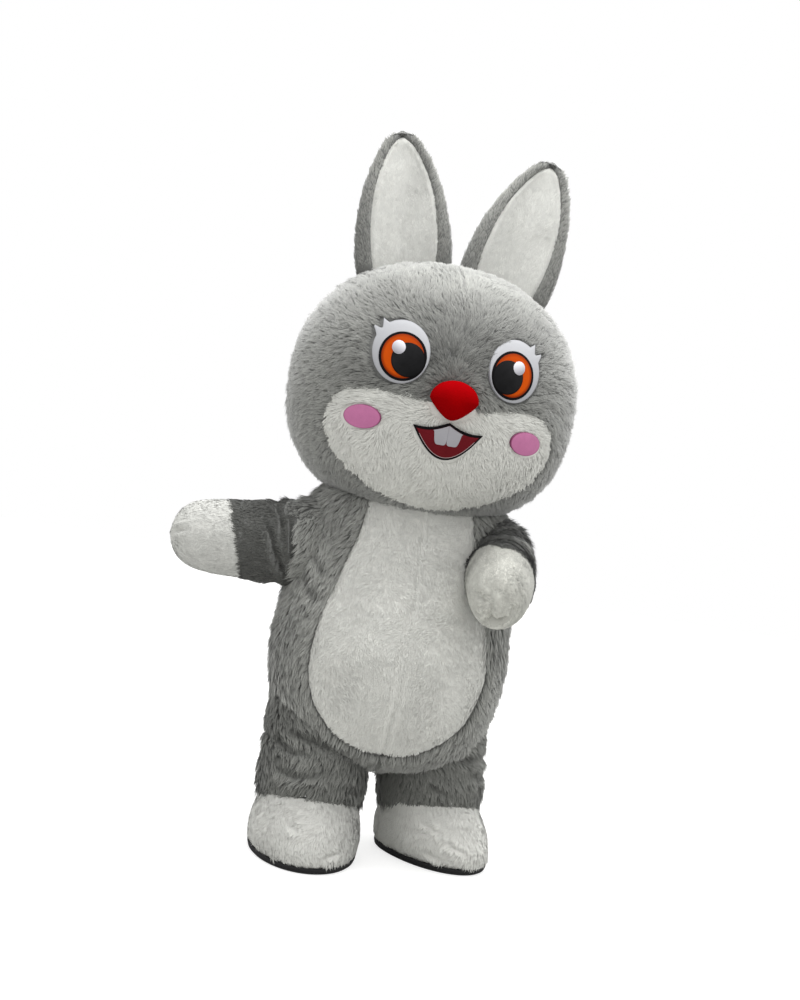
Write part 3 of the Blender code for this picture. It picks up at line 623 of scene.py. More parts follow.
# a darker copy of the white plush for the right mitt and the inner ears: painted shade
plushPale = furMaterial("plushPale", (0.62, 0.62, 0.585), (0.685, 0.69, 0.655), 0.3, 9.0, 0.1)
greyBacking = clothMaterial("greyBacking", (0.16, 0.162, 0.155), 0.4)
whiteBacking = clothMaterial("whiteBacking", (0.76, 0.755, 0.71), 0.25)
paleBacking = clothMaterial("paleBacking", (0.63, 0.63, 0.595), 0.25)
# the bent mitt's darker backing, to match its pile: a little soil, and painted shade
soiledShadedBacking = clothMaterial("soiledShadedBacking", (0.50, 0.50, 0.455), 0.25)
print("materials ready")

# the shapes of the costume
torso = dict(
    # height, half width, front, back
    rows=[
        (0.250, 0.000, 0.000, 0.000),
        (0.256, 0.085, 0.060, 0.070),
        (0.282, 0.190, 0.136, 0.146),
        (0.325, 0.258, 0.206, 0.202),
        (0.385, 0.302, 0.250, 0.240),
        (0.455, 0.326, 0.288, 0.264),
        (0.530, 0.338, 0.314, 0.279),
        (0.610, 0.342, 0.330, 0.286),
        (0.700, 0.334, 0.320, 0.282),
        (0.790, 0.327, 0.294, 0.270),
        (0.870, 0.323, 0.262, 0.256),
        (0.945, 0.316, 0.230, 0.238),
        (1.005, 0.294, 0.204, 0.218),
        (1.060, 0.252, 0.184, 0.196),
        (1.110, 0.210, 0.170, 0.180),
    ],
    # the white belly panel's outline: height, half width
    belly=[
        (0.328, 0.000),
        (0.336, 0.080),
        (0.372, 0.150),
        (0.430, 0.210),
        (0.500, 0.241),
        (0.580, 0.254),
        (0.660, 0.247),
        (0.750, 0.228),
        (0.850, 0.196),
        (0.940, 0.167),
        (1.100, 0.142),
    ],
    top=13.6,  # the row that its backing ends at
    pile=0.007,
)


def torsoAt(u, a):
    height, halfWidth, front, back = curveThrough(torso["rows"], u)
    depth = np.where(np.sin(a) > 0, back, front)
    return point(np.maximum(halfWidth, 0) * np.cos(a), np.maximum(depth, 0) * np.sin(a), height)


def bellyEdge(u):
    # the angle, from the side seam, at which the belly panel starts
    height, halfWidth = curveThrough(torso["rows"], u)[:2]
    outline = curveThrough(torso["belly"], np.linspace(0, len(torso["belly"]) - 1, 60))
    half = np.interp(height, outline[0], np.maximum(outline[1], 0), left=0)
    return np.arccos(np.clip(half / np.maximum(halfWidth, 1e-6), 0, 1))


def ovalShare(x, y, halfWidth, halfDepth):
    # under 1 inside an oval
    return (x / halfWidth) ** 2 + (y / halfDepth) ** 2


def inTorso(points, grow):
    # which points lie in the torso, grown by a distance; the legs, arms and head have their own
    table = np.array(torso["rows"])
    height = points[:, 2] + neckHeight
    halfWidth, front, back = (np.interp(height, table[:, 0], table[:, k], left=0) for k in (1, 2, 3))
    depth = np.where(points[:, 1] > 0, back, front)
    wide, deep = np.maximum(halfWidth + grow, 1e-6), np.maximum(depth + grow, 1e-6)
    return (ovalShare(points[:, 0], points[:, 1], wide, deep) < 1) & (halfWidth > 0)


leg = dict(
    # height, half width, half depth, tilt
    rows=[
        (0.150, 0.150, 0.150, 0.24),
        (0.182, 0.157, 0.157, 0.16),
        (0.225, 0.159, 0.160, 0.08),
        (0.265, 0.156, 0.158, 0.04),
        (0.300, 0.158, 0.160, 0.02),
        (0.322, 0.152, 0.153, 0.00),
        (0.342, 0.158, 0.161, 0.00),
        (0.390, 0.156, 0.159, 0.00),
        (0.450, 0.150, 0.154, 0.00),
    ],
    # x, y, the toe's turn, and the foot's spread and stride for each metre down
    stance={
        "right": (-0.165, -0.015, math.radians(-4), 0.00, 0.12),
        "left": (0.168, 0.035, math.radians(20), 0.13, -0.15),
    },
    radius=0.157,  # of the space that other pile keeps out of, and how far up it goes
    above=0.12,
    pile=0.007,
)
foot = dict(
    # height, heel, toe, half width, tilt
    rows=[
        (0.0183, 0.152, 0.246, 0.156, 0.00),
        (0.034, 0.160, 0.257, 0.164, 0.00),
        (0.064, 0.163, 0.254, 0.166, 0.02),
        (0.094, 0.160, 0.233, 0.163, 0.07),
        (0.122, 0.155, 0.196, 0.157, 0.15),
        (0.1497, 0.150, 0.150, 0.150, 0.24),
    ],
    sole=[(0.0, 0.955), (0.004, 0.985), (0.009, 0.985), (0.011, 1.0), (0.018, 1.0)],
    pile=0.008,
)


def setDown(side, x, y, height, tilt):
    placeX, placeY, turn, spread, stride = leg["stance"][side]
    cos, sin = math.cos(turn), math.sin(turn)
    down = leg["rows"][-1][0] - height
    middleX, middleY = placeX + spread * down, placeY - stride * down
    return point(x * cos - y * sin + middleX, x * sin + y * cos + middleY, height - tilt * y)


def legAt(side):
    def at(u, a):
        height, halfWidth, halfDepth, tilt = curveThrough(leg["rows"], u)
        return setDown(side, halfWidth * np.cos(a), halfDepth * np.sin(a), height, tilt)

    return at


def footAt(side):
    def at(u, a):
        height, heel, toe, halfWidth, tilt = curveThrough(foot["rows"], u)
        reach = np.where(np.sin(a) < 0, toe, heel)
        return setDown(side, halfWidth * np.cos(a), reach * np.sin(a), height, tilt)

    return at


def inLeg(side, points, grow):
    placeX, placeY, _, spread, stride = leg["stance"][side]
    down = leg["rows"][-1][0] - (points[:, 2] + neckHeight)
    x, y = points[:, 0] - placeX - spread * down, points[:, 1] - placeY + stride * down
    reach = leg["radius"] + grow
    return (x**2 + y**2 < reach**2) & (down > -leg["above"])


arm = dict(
    # x, y, height, half depth, half height
    right=[
        (-0.200, -0.030, 0.880, 0.108, 0.132),
        (-0.290, -0.030, 0.869, 0.112, 0.128),
        (-0.325, -0.030, 0.864, 0.106, 0.121),
        (-0.348, -0.030, 0.861, 0.113, 0.127),
        (-0.371, -0.030, 0.858, 0.105, 0.118),
        (-0.400, -0.030, 0.855, 0.109, 0.122),
        (-0.440, -0.030, 0.852, 0.104, 0.117),
        (-0.500, -0.030, 0.848, 0.099, 0.112),
        (-0.560, -0.030, 0.846, 0.095, 0.108),
        (-0.610, -0.030, 0.844, 0.085, 0.097),
        (-0.645, -0.030, 0.842, 0.067, 0.076),
        (-0.668, -0.030, 0.841, 0.040, 0.045),
        (-0.679, -0.030, 0.841, 0.000, 0.000),
    ],
    left=[
        (0.228, 0.030, 0.910, 0.060, 0.080),
        (0.232, -0.030, 0.912, 0.082, 0.104),
        (0.248, -0.090, 0.907, 0.100, 0.116),
        (0.251, -0.140, 0.896, 0.096, 0.111),
        (0.245, -0.170, 0.887, 0.101, 0.115),
        (0.241, -0.200, 0.881, 0.094, 0.108),
        (0.235, -0.240, 0.871, 0.100, 0.112),
        (0.226, -0.300, 0.861, 0.097, 0.109),
        (0.214, -0.360, 0.851, 0.092, 0.105),
        (0.202, -0.420, 0.841, 0.085, 0.099),
        (0.192, -0.465, 0.834, 0.072, 0.085),
        (0.182, -0.498, 0.827, 0.050, 0.060),
        (0.178, -0.515, 0.824, 0.025, 0.030),
        (0.177, -0.521, 0.823, 0.000, 0.000),
    ],
    # the mitt's seam: its place along the arm, and how far its top leans
    cuff={"right": (-0.490, math.radians(-16)), "left": (-0.330, 0.0)},
    # where the body's long pile ends, past the cuff
    shoulder={"right": -0.155, "left": -0.150},
    # how far the bent mitt's pile laps back, where its normal faces the body
    lap=0.09,
    lapTurn=1.6,
    lapFrom=0.3,
    # the height of the cuff's middle, and how many rows ahead and behind give the arm's direction
    cuffHeight={"right": 0.849, "left": 0.850},
    step=0.4,
    pile=0.005,
)


def armAt(side):
    table = arm[side]

    def at(u, a):
        x, y, height, halfDepth, halfHeight = curveThrough(table, u)
        middle = point(x, y, height)
        last = len(table) - 2.0
        beside = [np.clip(u + step, 0, last) for step in (arm["step"], -arm["step"])]
        ahead, behind = (curveThrough(table, at)[:3] for at in beside)
        forward = unit(np.moveaxis(ahead - behind, 0, -1))
        across = unit(np.cross(forward, [0.0, 0.0, 1.0]))
        upright = np.cross(across, forward)
        wide = (-np.maximum(halfDepth, 0) * np.cos(a))[..., None]
        high = (np.maximum(halfHeight, 0) * np.sin(a))[..., None]
        return middle + across * wide + upright * high

    return at


def inArm(side, points, grow):
    # the right arm runs along X and the left one, near enough, along -Y
    table = np.array(arm[side])
    axis = 0 if side == "right" else 1
    other = 1 - axis
    order = np.argsort(table[:, axis])
    middle, height, wide, high = (
        np.interp(points[:, axis], table[order, axis], table[order, k]) for k in (other, 2, 3, 4)
    )
    far = ovalShare(points[:, other] - middle, points[:, 2] + neckHeight - height, wide + grow, high + grow)
    low, up = table[order[0], axis], table[order[-1], axis]
    return (far < 1) & (points[:, axis] > low) & (points[:, axis] < up)


head = dict(
    centre=1.353, halfWidth=0.414, halfHeight=0.363, front=0.388, back=0.365,
    # how square it is above and below its middle, how wide the neck's opening is, and how far
    # behind its middle the ear-to-ear seam runs
    crownPower=2.15, chinPower=2.5, neckShare=0.42, crownSeam=0.015,
    # the white muzzle panel's outline: half width, height
    muzzle=[
        (0.000, 1.030),
        (0.075, 1.036),
        (0.152, 1.062),
        (0.230, 1.106),
        (0.280, 1.148),
        (0.308, 1.196),
        (0.314, 1.242),
        (0.299, 1.292),
        (0.264, 1.320),
        (0.212, 1.329),
        (0.140, 1.324),
        (0.068, 1.314),
        (0.000, 1.306),
    ],
    pile=0.007,
)


def headShare(height):
    offset = np.asarray(height) - head["centre"]
    power = np.where(offset > 0, head["crownPower"], head["chinPower"])
    return np.maximum(0, 1 - (np.abs(offset) / head["halfHeight"]) ** power) ** (1 / power)


def headAt(u, a):
    # u is 0 at the neck opening and 1 at the crown
    chin = head["chinPower"]
    lowest = -math.asin((1 - head["neckShare"] ** chin) ** 0.5)
    climb = lowest + (math.pi / 2 - lowest) * u
    power = np.where(climb > 0, head["crownPower"], chin)
    rise = np.sign(climb) * np.abs(np.sin(climb)) ** (2 / power)
    share = np.abs(np.cos(np.minimum(climb, math.pi / 2))) ** (2 / power)
    depth = np.where(np.sin(a) > 0, head["back"], head["front"])
    x, y = head["halfWidth"] * share * np.cos(a), depth * share * np.sin(a)
    return point(x, y, head["centre"] + head["halfHeight"] * rise)


def inHead(points, grow):
    height = points[:, 2] + neckHeight
    share = headShare(height)
    depth = np.where(points[:, 1] > 0, head["back"], head["front"])
    far = ovalShare(points[:, 0], points[:, 1], head["halfWidth"] * share + grow, depth * share + grow)
    return (far < 1) & (share > 0)


def faceShare(x, height):
    return np.clip(1 - (x / (head["halfWidth"] * headShare(height))) ** 2, 0.01, 1)


def faceDepth(x, height):
    return -head["front"] * headShare(height) * np.sqrt(faceShare(x, height))


def onFace(x, height, step=0.002):
    # the head's front surface at x and height, and its normal
    share = headShare(height)
    slopeX = head["front"] * share * x / (head["halfWidth"] * share) ** 2 / np.sqrt(faceShare(x, height))
    slopeZ = (faceDepth(x, height + step) - faceDepth(x, height - step)) / (2 * step)
    normal = unit(np.stack([slopeX, -np.ones_like(slopeX), slopeZ], -1))
    return point(x, faceDepth(x, height), height), normal


def closedOutline(rows):
    # both sides of a table of half widths, anticlockwise from the bottom
    right = [(half, height) for half, height in rows]
    left = [(-half, height) for half, height in reversed(rows) if half > 0.001]
    return right + left


ear = dict(
    # along, half width, front, back, the plush panel's half width
    rows=[
        (0.000, 0.132, 0.040, 0.048, 0.080),
        (0.080, 0.143, 0.052, 0.055, 0.091),
        (0.160, 0.143, 0.056, 0.058, 0.096),
        (0.235, 0.133, 0.053, 0.055, 0.092),
        (0.307, 0.115, 0.047, 0.049, 0.079),
        (0.372, 0.090, 0.038, 0.040, 0.055),
        (0.422, 0.063, 0.027, 0.028, 0.028),
        (0.450, 0.039, 0.016, 0.017, 0.000),
        (0.466, 0.000, 0.000, 0.000, 0.000),
    ],
    # x, y, height of the base, and the lean outwards
    place={
        "right": (-0.127, 0.020, 1.618, math.radians(-10)),
        "left": (0.140, 0.020, 1.618, math.radians(13)),
    },
    dish=0.14,  # how much of the front's depth is left in its middle
    pile=0.005,
)


def earAt(side):
    placeX, placeY, placeHeight, splay = ear["place"][side]
    cos, sin = math.cos(splay), math.sin(splay)

    def at(u, a):
        along, halfWidth, front, back, _ = curveThrough(ear["rows"], u)
        across = np.maximum(halfWidth, 0) * np.cos(a)
        dish = ear["dish"] + (1 - ear["dish"]) * np.cos(a) ** 2
        deep = np.where(np.sin(a) < 0, front * dish, back) * np.sin(a)
        x, height = placeX + across * cos + along * sin, placeHeight - across * sin + along * cos
        return point(x, placeY + deep, height)

    return at


def earEdge(u):
    _, halfWidth, _, _, inner = curveThrough(ear["rows"], u)
    return np.arccos(np.clip(np.maximum(inner, 0) / np.maximum(halfWidth, 1e-6), 0, 1))


# the camera, the floor and the light
camera = dict(azimuth=-8.5, distance=4.45, aside=-0.04, height=1.195, aim=1.03, roll=9.6, lens=36.0)


def addCamera():
    data = bpy.data.cameras.new("camera")
    data.sensor_fit = "VERTICAL"
    data.angle = math.radians(camera["lens"])
    made = newObject("camera", data)
    azimuth = math.radians(camera["azimuth"])
    cos, sin = math.cos(azimuth), math.sin(azimuth)
    aside, far = camera["aside"], camera["distance"]
    place = Vector((far * sin + aside * cos, -far * cos + aside * sin, camera["height"] - neckHeight))
    aim = Vector((aside * cos, aside * sin, camera["aim"] - neckHeight))
    turn = (aim - place).to_track_quat("-Z", "Y").to_matrix()
    roll = Matrix.Rotation(math.radians(camera["roll"]), 3, "Z")
    made.matrix_world = Matrix.Translation(place) @ (turn @ roll).to_4x4()
    bpy.context.scene.camera = made


studio = dict(
    horizon=0.62, zenith=1.25, sky=(-0.1, 0.9),
    floor=(0.50, 0.50, 0.49), glow=0.70, halfFloor=9, floorGap=0.001,
    # place, aim, size and power
    lights={
        "keyLight": ((-1.6, -3.2, 3.4), (0, 0, 0.2), 2.6, 9),
        "fillLight": ((3.2, -2.6, 1.2), (0, 0, 0), 2.4, 5),
        "topLight": ((0.2, -0.5, 3.6), (0, 0, 0.4), 2.2, 140),
    },
)


def addLight(name, place, aim, size, power):
    data = bpy.data.lights.new(name, "AREA")
    data.shape = "DISK"
    data.size = size
    data.energy = power
    made = newObject(name, data)
    made.location = place
    made.rotation_euler = (Vector(aim) - Vector(place)).to_track_quat("-Z", "Y").to_euler()


def cameraRay(tree):
    return addNode(tree, "ShaderNodeLightPath").outputs["Is Camera Ray"]


def addFloor():
    # white paper, lifted for the camera alone to the white of the room
    half = studio["halfFloor"]
    corners = [(-half, -half, 0), (half, -half, 0), (half, half, 0), (-half, half, 0)]
    floor = newObject("floor", meshFrom("floor", corners, [(0, 1, 2, 3)]))
    floor.location.z = -neckHeight - studio["floorGap"]
    paper = clothMaterial("floorPaper", studio["floor"], 0.02, 0.9, 60.0, 2.0, sheen=0.0, bump=0.0002)
    tree = paper.node_tree
    shader = tree.nodes["Principled BSDF"].inputs
    shader["Emission Color"].default_value = (1, 1, 1, 1)
    feed(tree, times(tree, cameraRay(tree), studio["glow"]), shader["Emission Strength"])
    floor.data.materials.append(paper)


def addRoom():
    # a white room, brighter overhead; what the camera sees of it is plain white
    world = bpy.data.worlds.new("studio")
    world.use_nodes = True
    tree = world.node_tree
    split = addNode(tree, "ShaderNodeSeparateXYZ")
    feed(tree, addNode(tree, "ShaderNodeTexCoord").outputs["Generated"], split.inputs[0])
    rise = addNode(tree, "ShaderNodeMapRange", interpolation_type="SMOOTHSTEP")
    values = (split.outputs["Z"], *studio["sky"], studio["horizon"], studio["zenith"])
    for label, value in zip(("Value", "From Min", "From Max", "To Min", "To Max"), values):
        feed(tree, value, rise.inputs[label])
    background = tree.nodes["Background"].inputs
    feed(tree, mathNode(tree, "MAXIMUM", rise.outputs["Result"], cameraRay(tree)), background["Strength"])
    background["Color"].default_value = (1, 1, 1, 1)
    bpy.context.scene.world = world
    bpy.context.scene.view_settings.view_transform = "Standard"


addCamera()
addFloor()
for name, light in studio["lights"].items():
    addLight(name, *light)
addRoom()
print("studio ready")

def tube(surface, rows, columns, pile, creases=()):
    # a form's backing, all the way round
    return sunk(gridOn(surface, rows, 0, 2 * math.pi, columns), pile, creases)


def lineAt(surface, rows, angle):
    return gridOn(surface, rows, angle, angle, 2)[:, 0]


# cutters
headSolid = closedFrom("headSolid", tube(headAt, np.linspace(0, 0.9999, 44), 81, head["pile"]), seamGap)
torsoRows = evenRows(torsoAt, 0.05, torso["top"], 64)
torsoSolid = closedFrom("torsoSolid", tube(torsoAt, torsoRows, 81, torso["pile"]), seamGap)
cutterList = [headSolid, torsoSolid]
legHole, sleeveHole = {}, {}
for side in sides:
    grid = tube(legAt(side), np.linspace(0, 8, 30), 49, leg["pile"])
    legHole[side] = closedFrom(f"legHole_{side}", grid, -clothThickness)
    grid = tube(armAt(side), np.linspace(0, len(arm[side]) - 1.05, 40), 49, arm["pile"])
    sleeveHole[side] = closedFrom(f"sleeveHole_{side}", grid, -clothThickness)
    cutterList += [legHole[side], sleeveHole[side]]
muzzleLine = closedOutline(head["muzzle"])
muzzleHole = prism("muzzleHole", grownOutline(muzzleLine, seamGap / 2))
muzzleShape = prism("muzzleShape", grownOutline(muzzleLine, -seamGap / 2))
cutterList += [muzzleHole, muzzleShape]
print("cutters ready")

# body suit
bodyFur = dict(
    perMetre=105000, length=0.030, width=0.0034, lift=21, bulge=0.17, swirl=0.5, swirlSize=0.30,
    ruffle=0.22, tuft=14, gather=0.50, softness=0.72, bow=1.0,
)
bellyFur = dict(
    perMetre=100000, length=0.012, width=0.0034, lift=11, bulge=0.12, swirl=0.8, swirlSize=0.16,
    ruffle=0.25, tuft=12, gather=0.30, softness=0.96, bow=0.5,
)
bodyCreases = [
    # stops as (row, degrees), width, depth
    ([(10.2, 205), (9.2, 222)], 0.010, 0.010),
    ([(9.4, 196), (8.6, 214), (8.4, 226)], 0.012, 0.007),
    ([(5.2, 186), (4.4, 205), (4.0, 222)], 0.014, 0.008),
    ([(4.6, 176), (3.9, 190), (3.6, 204)], 0.012, 0.007),
    ([(9.8, -30), (9.0, -44)], 0.010, 0.008),
    ([(4.9, -8), (4.2, -24), (3.9, -40)], 0.013, 0.007),
    ([(10.0, 150), (9.2, 128), (9.0, 112)], 0.013, 0.008),
    ([(8.9, 40), (9.3, 62), (9.2, 74)], 0.013, 0.007),
    ([(4.4, 60), (4.0, 84), (4.3, 108)], 0.015, 0.008),
    ([(5.0, 24), (4.3, 44)], 0.012, 0.007),
    ([(4.8, 162), (4.2, 140), (4.1, 126)], 0.012, 0.007),
]
bellyCreases = [
    ([(7.2, -90), (2.2, -90)], 0.007, 0.006),
    ([(7.6, -112), (7.2, -101)], 0.005, 0.008),
    ([(7.1, -116), (6.8, -106)], 0.005, 0.007),
    ([(8.0, -76), (7.3, -66)], 0.005, 0.009),
    ([(7.6, -80), (7.0, -72)], 0.004, 0.007),
    ([(6.4, -118), (5.9, -104)], 0.006, 0.006),
]
bodyFolds = creasesOn(torsoAt, bodyCreases)
# width and depth of the seams' dents: round the belly, and down its middle
bellySeams = dict(border=(0.006, 0.004), middle=(0.004, 0.0015))


def bodyGrids():
    rows = torsoRows
    edge = bellyEdge(rows)
    borders = [lineAt(torsoAt, rows, angle)[8:] for angle in (-edge, math.pi + edge)]
    plain = [(line, *bellySeams["border"], 0.0) for line in borders] + bodyFolds
    middle = lineAt(torsoAt, rows, -math.pi / 2)
    grids = {}
    for side, sign in (("left", 1), ("right", -1)):
        # the right side's angles mirror the left's, and run the same way round
        def spans(start, end):
            return (start, end) if sign > 0 else (math.pi - end, math.pi - start)

        half = seamGap / 0.6  # half a seam's gap, as an angle
        grids[f"body_front_{side}"] = (spans(-edge + half, 0.0 - half), 44)
        grids[f"body_back_{side}"] = (spans(0.0 + half, math.pi / 2 - half), 44)
        grids[f"belly_{side}"] = (spans(-math.pi / 2 + half, -edge - half), 24)
    found = {}
    for name, ((start, end), columns) in grids.items():
        creases = plain + ([(middle, *bellySeams["middle"], 0.0)] if "belly" in name else [])
        use = rows
        if "belly" in name:
            height = curveThrough(torso["rows"], rows)[0]
            # its lowest row lies where the panel starts
            lowest = np.interp(0.3335, height, rows)
            use = np.concatenate([[lowest], rows[rows > lowest + 0.03]])
            start = np.interp(use, rows, np.broadcast_to(start, rows.shape))
            end = np.interp(use, rows, np.broadcast_to(end, rows.shape))
        found[name] = sunk(gridOn(torsoAt, use, start, end, columns), torso["pile"], creases)
    return found


suit = bodyGrids()
zipper = dict(
    halfWidth=0.0057, low=0.3605, top=1.029, depth=0.003, pitch=0.0028,
    tooth=(0.0017, 0.0007, 0.0014), narrowing=0.7, crowded=0.0006, firstTooth=0.004, seated=0.0001,
    clear=0.001,
)
zipEdge = zipper["halfWidth"] + seamGap
zipHole = prism("zipHole", [(-zipEdge, 0.36), (zipEdge, 0.36), (zipEdge, 1.3), (-zipEdge, 1.3)], 0.0)
cutterList.append(zipHole)
for name, grid in suit.items():
    kind, side = name.rsplit("_", 1)
    white = kind == "belly"
    cutters = [headSolid, sleeveHole[side]] + ([] if white else [legHole[side]])
    cutters += [zipHole] if kind == "body_back" else []
    cloth = (whiteBacking, "white_fur") if white else (greyBacking, "grey_fur")
    clothPanel(name, grid, *cloth, cutters)
print("body suit ready")


def scatterOn(grids, perMetre):
    parts = [scatter(grid, perMetre) for grid in grids]
    return (np.concatenate([part[k] for part in parts]) for k in (0, 1))


# how far inside another form a root still grows, and the painted shade that darkens the body's pile towards
# the legs
buried = dict(head=-0.02, torso=-0.016, leg=-0.012, arm=-0.008, earInHead=-0.012)
bodyLowShade = dict(tone=-0.9, below=0.44, over=0.1)


def bodyRoots(names, perMetre):
    roots, normals = scatterOn([suit[name] for name in names], perMetre)
    x, y, height = roots[:, 0], roots[:, 1], roots[:, 2] + neckHeight
    onZip = (np.abs(x) < zipEdge + zipper["clear"]) & (y > 0) & (height > zipper["low"])
    covered = inHead(roots, buried["head"]) | onZip
    for side in sides:
        covered |= inArm(side, roots, buried["arm"]) | inLeg(side, roots, buried["leg"])
    return roots[~covered], normals[~covered]


def downwards(roots):
    return np.tile([0.0, 0, -1], (len(roots), 1))


for label, perMetre in (("front", bodyFur["perMetre"]), ("back", 40000)):
    names = [f"body_{label}_left", f"body_{label}_right"]
    roots, normals = bodyRoots(names, perMetre)
    # painted shade: the pile is darker towards the legs
    low = bodyLowShade["tone"] * np.clip((bodyLowShade["below"] - roots[:, 2] - neckHeight) / bodyLowShade["over"], 0, 1)
    growFur(
        f"furBody-{label}", roots, normals, downwards(roots), bodyFur, greyFur, names,
        paintedLight=low, folds=bodyFolds,
    )
names = ["belly_left", "belly_right"]
roots, normals = bodyRoots(names, bellyFur["perMetre"])
growFur(
    "plushBelly", roots, normals, downwards(roots), bellyFur, plushWhite, names,
    folds=creasesOn(torsoAt, bellyCreases, 1.6, 0.4),
)
print("body fur ready")


zipTape = clothMaterial("zipTape", (0.085, 0.086, 0.088), 0.3, 0.85, 1400.0, 60.0, bump=0.0003)
zipNylon = clothMaterial("zipNylon", (0.11, 0.111, 0.113), 0.15, 0.45, 400.0, 90.0, sheen=0.0, bump=0.0001)


def addZip():
    # a closed zip down the middle of the back: its tape, and teeth that mesh
    fine = np.linspace(0, 14, 400)
    heights, halfWidth = curveThrough(torso["rows"], fine)[:2]
    at = np.linspace(zipper["low"], zipper["top"], 90)
    rows, wide = np.interp(at, heights, fine), np.interp(at, heights, halfWidth)
    across = np.linspace(1, -1, 5) * zipper["halfWidth"]
    tape = sunk(torsoAt(np.repeat(rows[:, None], 5, 1), np.arccos(across / wide[:, None])), zipper["depth"])
    clothPanel("back_zip", tape, zipTape, "zip_grey", [headSolid], name="zip-tape")
    count = int((zipper["top"] - zipper["low"]) / zipper["pitch"])
    at = np.linspace(zipper["low"] + zipper["firstTooth"], zipper["top"], count)
    line = torsoAt(np.interp(at, heights, fine), np.full(count, math.pi / 2))
    line = line[~inHead(line, 0.002)]
    ahead = unit(np.gradient(line, axis=0))
    out = np.cross([-1.0, 0, 0], ahead)
    deep, tall, high = zipper["tooth"]
    points, faces = [], []
    for i, (spot, along, outwards) in enumerate(zip(line, ahead, out)):
        spot = spot - outwards * (zipper["depth"] - zipper["seated"]) + [zipper["crowded"] * (-1) ** i, 0, 0]
        base = len(points)
        for level, share in ((0, 1.0), (high, zipper["narrowing"])):
            for x, z in ((-1, -1), (1, -1), (1, 1), (-1, 1)):
                points.append(spot + [x * deep * share, 0, 0] + along * z * tall * share + outwards * level)
        quads = [(3, 2, 1, 0), (4, 5, 6, 7), (0, 1, 5, 4), (1, 2, 6, 5), (2, 3, 7, 6), (3, 0, 4, 7)]
        faces += [[base + k for k in quad] for quad in quads]
    mesh = edited(meshFrom("zip-teeth", [tuple(spot) for spot in points], faces), evenNormals)
    declare(newObject("zip-teeth", mesh), zipNylon, owners=["back_zip"])


addZip()
print("zip ready")

# legs, feet and soles
legFur = dict(bodyFur, perMetre=80000, length=0.026, lift=20)
footFur = dict(
    perMetre=110000, length=0.0145, width=0.0034, lift=8, bulge=0.11, swirl=0.6, swirlSize=0.14,
    ruffle=0.16, tuft=18, gather=0.24, softness=0.985, bow=0.45,
)
legCreases = {
    "right": [
        ([(6.4, 232), (5.9, 262), (5.5, 290)], 0.012, 0.012),
        ([(4.6, 214), (3.9, 240), (4.4, 276)], 0.010, 0.008),
        ([(2.6, 222), (2.0, 250), (2.6, 282)], 0.011, 0.008),
        ([(1.6, 300), (1.1, 330)], 0.010, 0.006),
        ([(5.6, 60), (5.0, 92), (5.5, 124)], 0.012, 0.009),
        ([(3.0, 40), (2.5, 70)], 0.011, 0.007),
    ],
    "left": [
        ([(6.0, 250), (5.4, 282), (5.8, 310)], 0.012, 0.010),
        ([(3.4, 284), (2.8, 306), (3.2, 330)], 0.010, 0.007),
        ([(2.0, 236), (1.5, 262)], 0.010, 0.006),
        ([(5.4, 74), (4.8, 100), (5.3, 130)], 0.012, 0.009),
        ([(2.8, 60), (2.3, 88)], 0.011, 0.007),
    ],
}
footCreases = {
    "right": [
        ([(3.4, -112), (3.0, -98)], 0.008, 0.005),
        ([(1.5, -70), (1.9, -52)], 0.007, 0.004),
    ],
    "left": [
        ([(3.9, -134), (3.1, -116)], 0.006, 0.007),
        ([(2.9, -142), (3.2, -126)], 0.006, 0.005),
        ([(2.6, -112), (2.1, -94)], 0.007, 0.006),
        ([(1.6, -136), (1.3, -116)], 0.006, 0.005),
    ],
}
# how far from an edge its locks are longer, by what share, and how unevenly
legHem = dict(reach=0.03, longer=0.55, mean=0.5, swing=0.8, size=0.05)
soleHem = dict(top=0.055, reach=0.03, longer=0.5, mean=0.6, swing=0.6, size=0.06)
soleRubber = clothMaterial("soleRubber", (0.018, 0.018, 0.019), 0.5, 0.75, 300.0, sheen=0.0)


def hang(hem, near, roots, seed):
    uneven = hem["mean"] + hem["swing"] * wobble(roots, hem["size"], seed)
    return 1 + hem["longer"] * np.clip(near, 0, 1) * uneven


def addLeg(side):
    surface = legAt(side)
    creases = creasesOn(surface, legCreases[side])
    grid = tube(surface, np.linspace(0.02, 8, 34), 65, leg["pile"], creases)
    clothPanel(f"leg_{side}", grid, greyBacking, "grey_fur", [torsoSolid])
    roots, normals = scatter(grid, legFur["perMetre"])
    keep = ~inTorso(roots, buried["torso"])
    roots, normals = roots[keep], normals[keep]
    # tufts hang over the foot's upper edge
    trim = hang(legHem, 1 - nearestOnLine(roots, grid[0])[0] / legHem["reach"], roots, 6)
    growFur(
        f"furLeg-{side}", roots, normals, downwards(roots), legFur, legFurGrey, [f"leg_{side}"],
        trim, folds=pileFolds(creases, 1.4),
    )


def addFoot(side):
    surface = footAt(side)
    creases = creasesOn(surface, footCreases[side])
    grid = tube(surface, np.linspace(0.0, 4.98, 22), 81, foot["pile"], creases)
    backing, fur = (whiteBacking, whiteFur) if side == "left" else (paleBacking, dimmedWhiteFur)
    clothPanel(f"foot_{side}", grid, backing, "white_fur")
    roots, normals = scatter(grid, footFur["perMetre"])
    # towards the toe's end it lies down over the sole, and on top it lies back from the shin
    comb = downwards(roots) + (roots - [*leg["stance"][side][:2], 0]) * [1.2, 0.3, 0]
    # the lowest locks are longer and hang over the sole
    trim = hang(soleHem, (soleHem["top"] - roots[:, 2] - neckHeight) / soleHem["reach"], roots, 4)
    growFur(
        f"furFoot-{side}", roots, normals, comb, footFur, fur, [f"foot_{side}"],
        trim, folds=creases,
    )


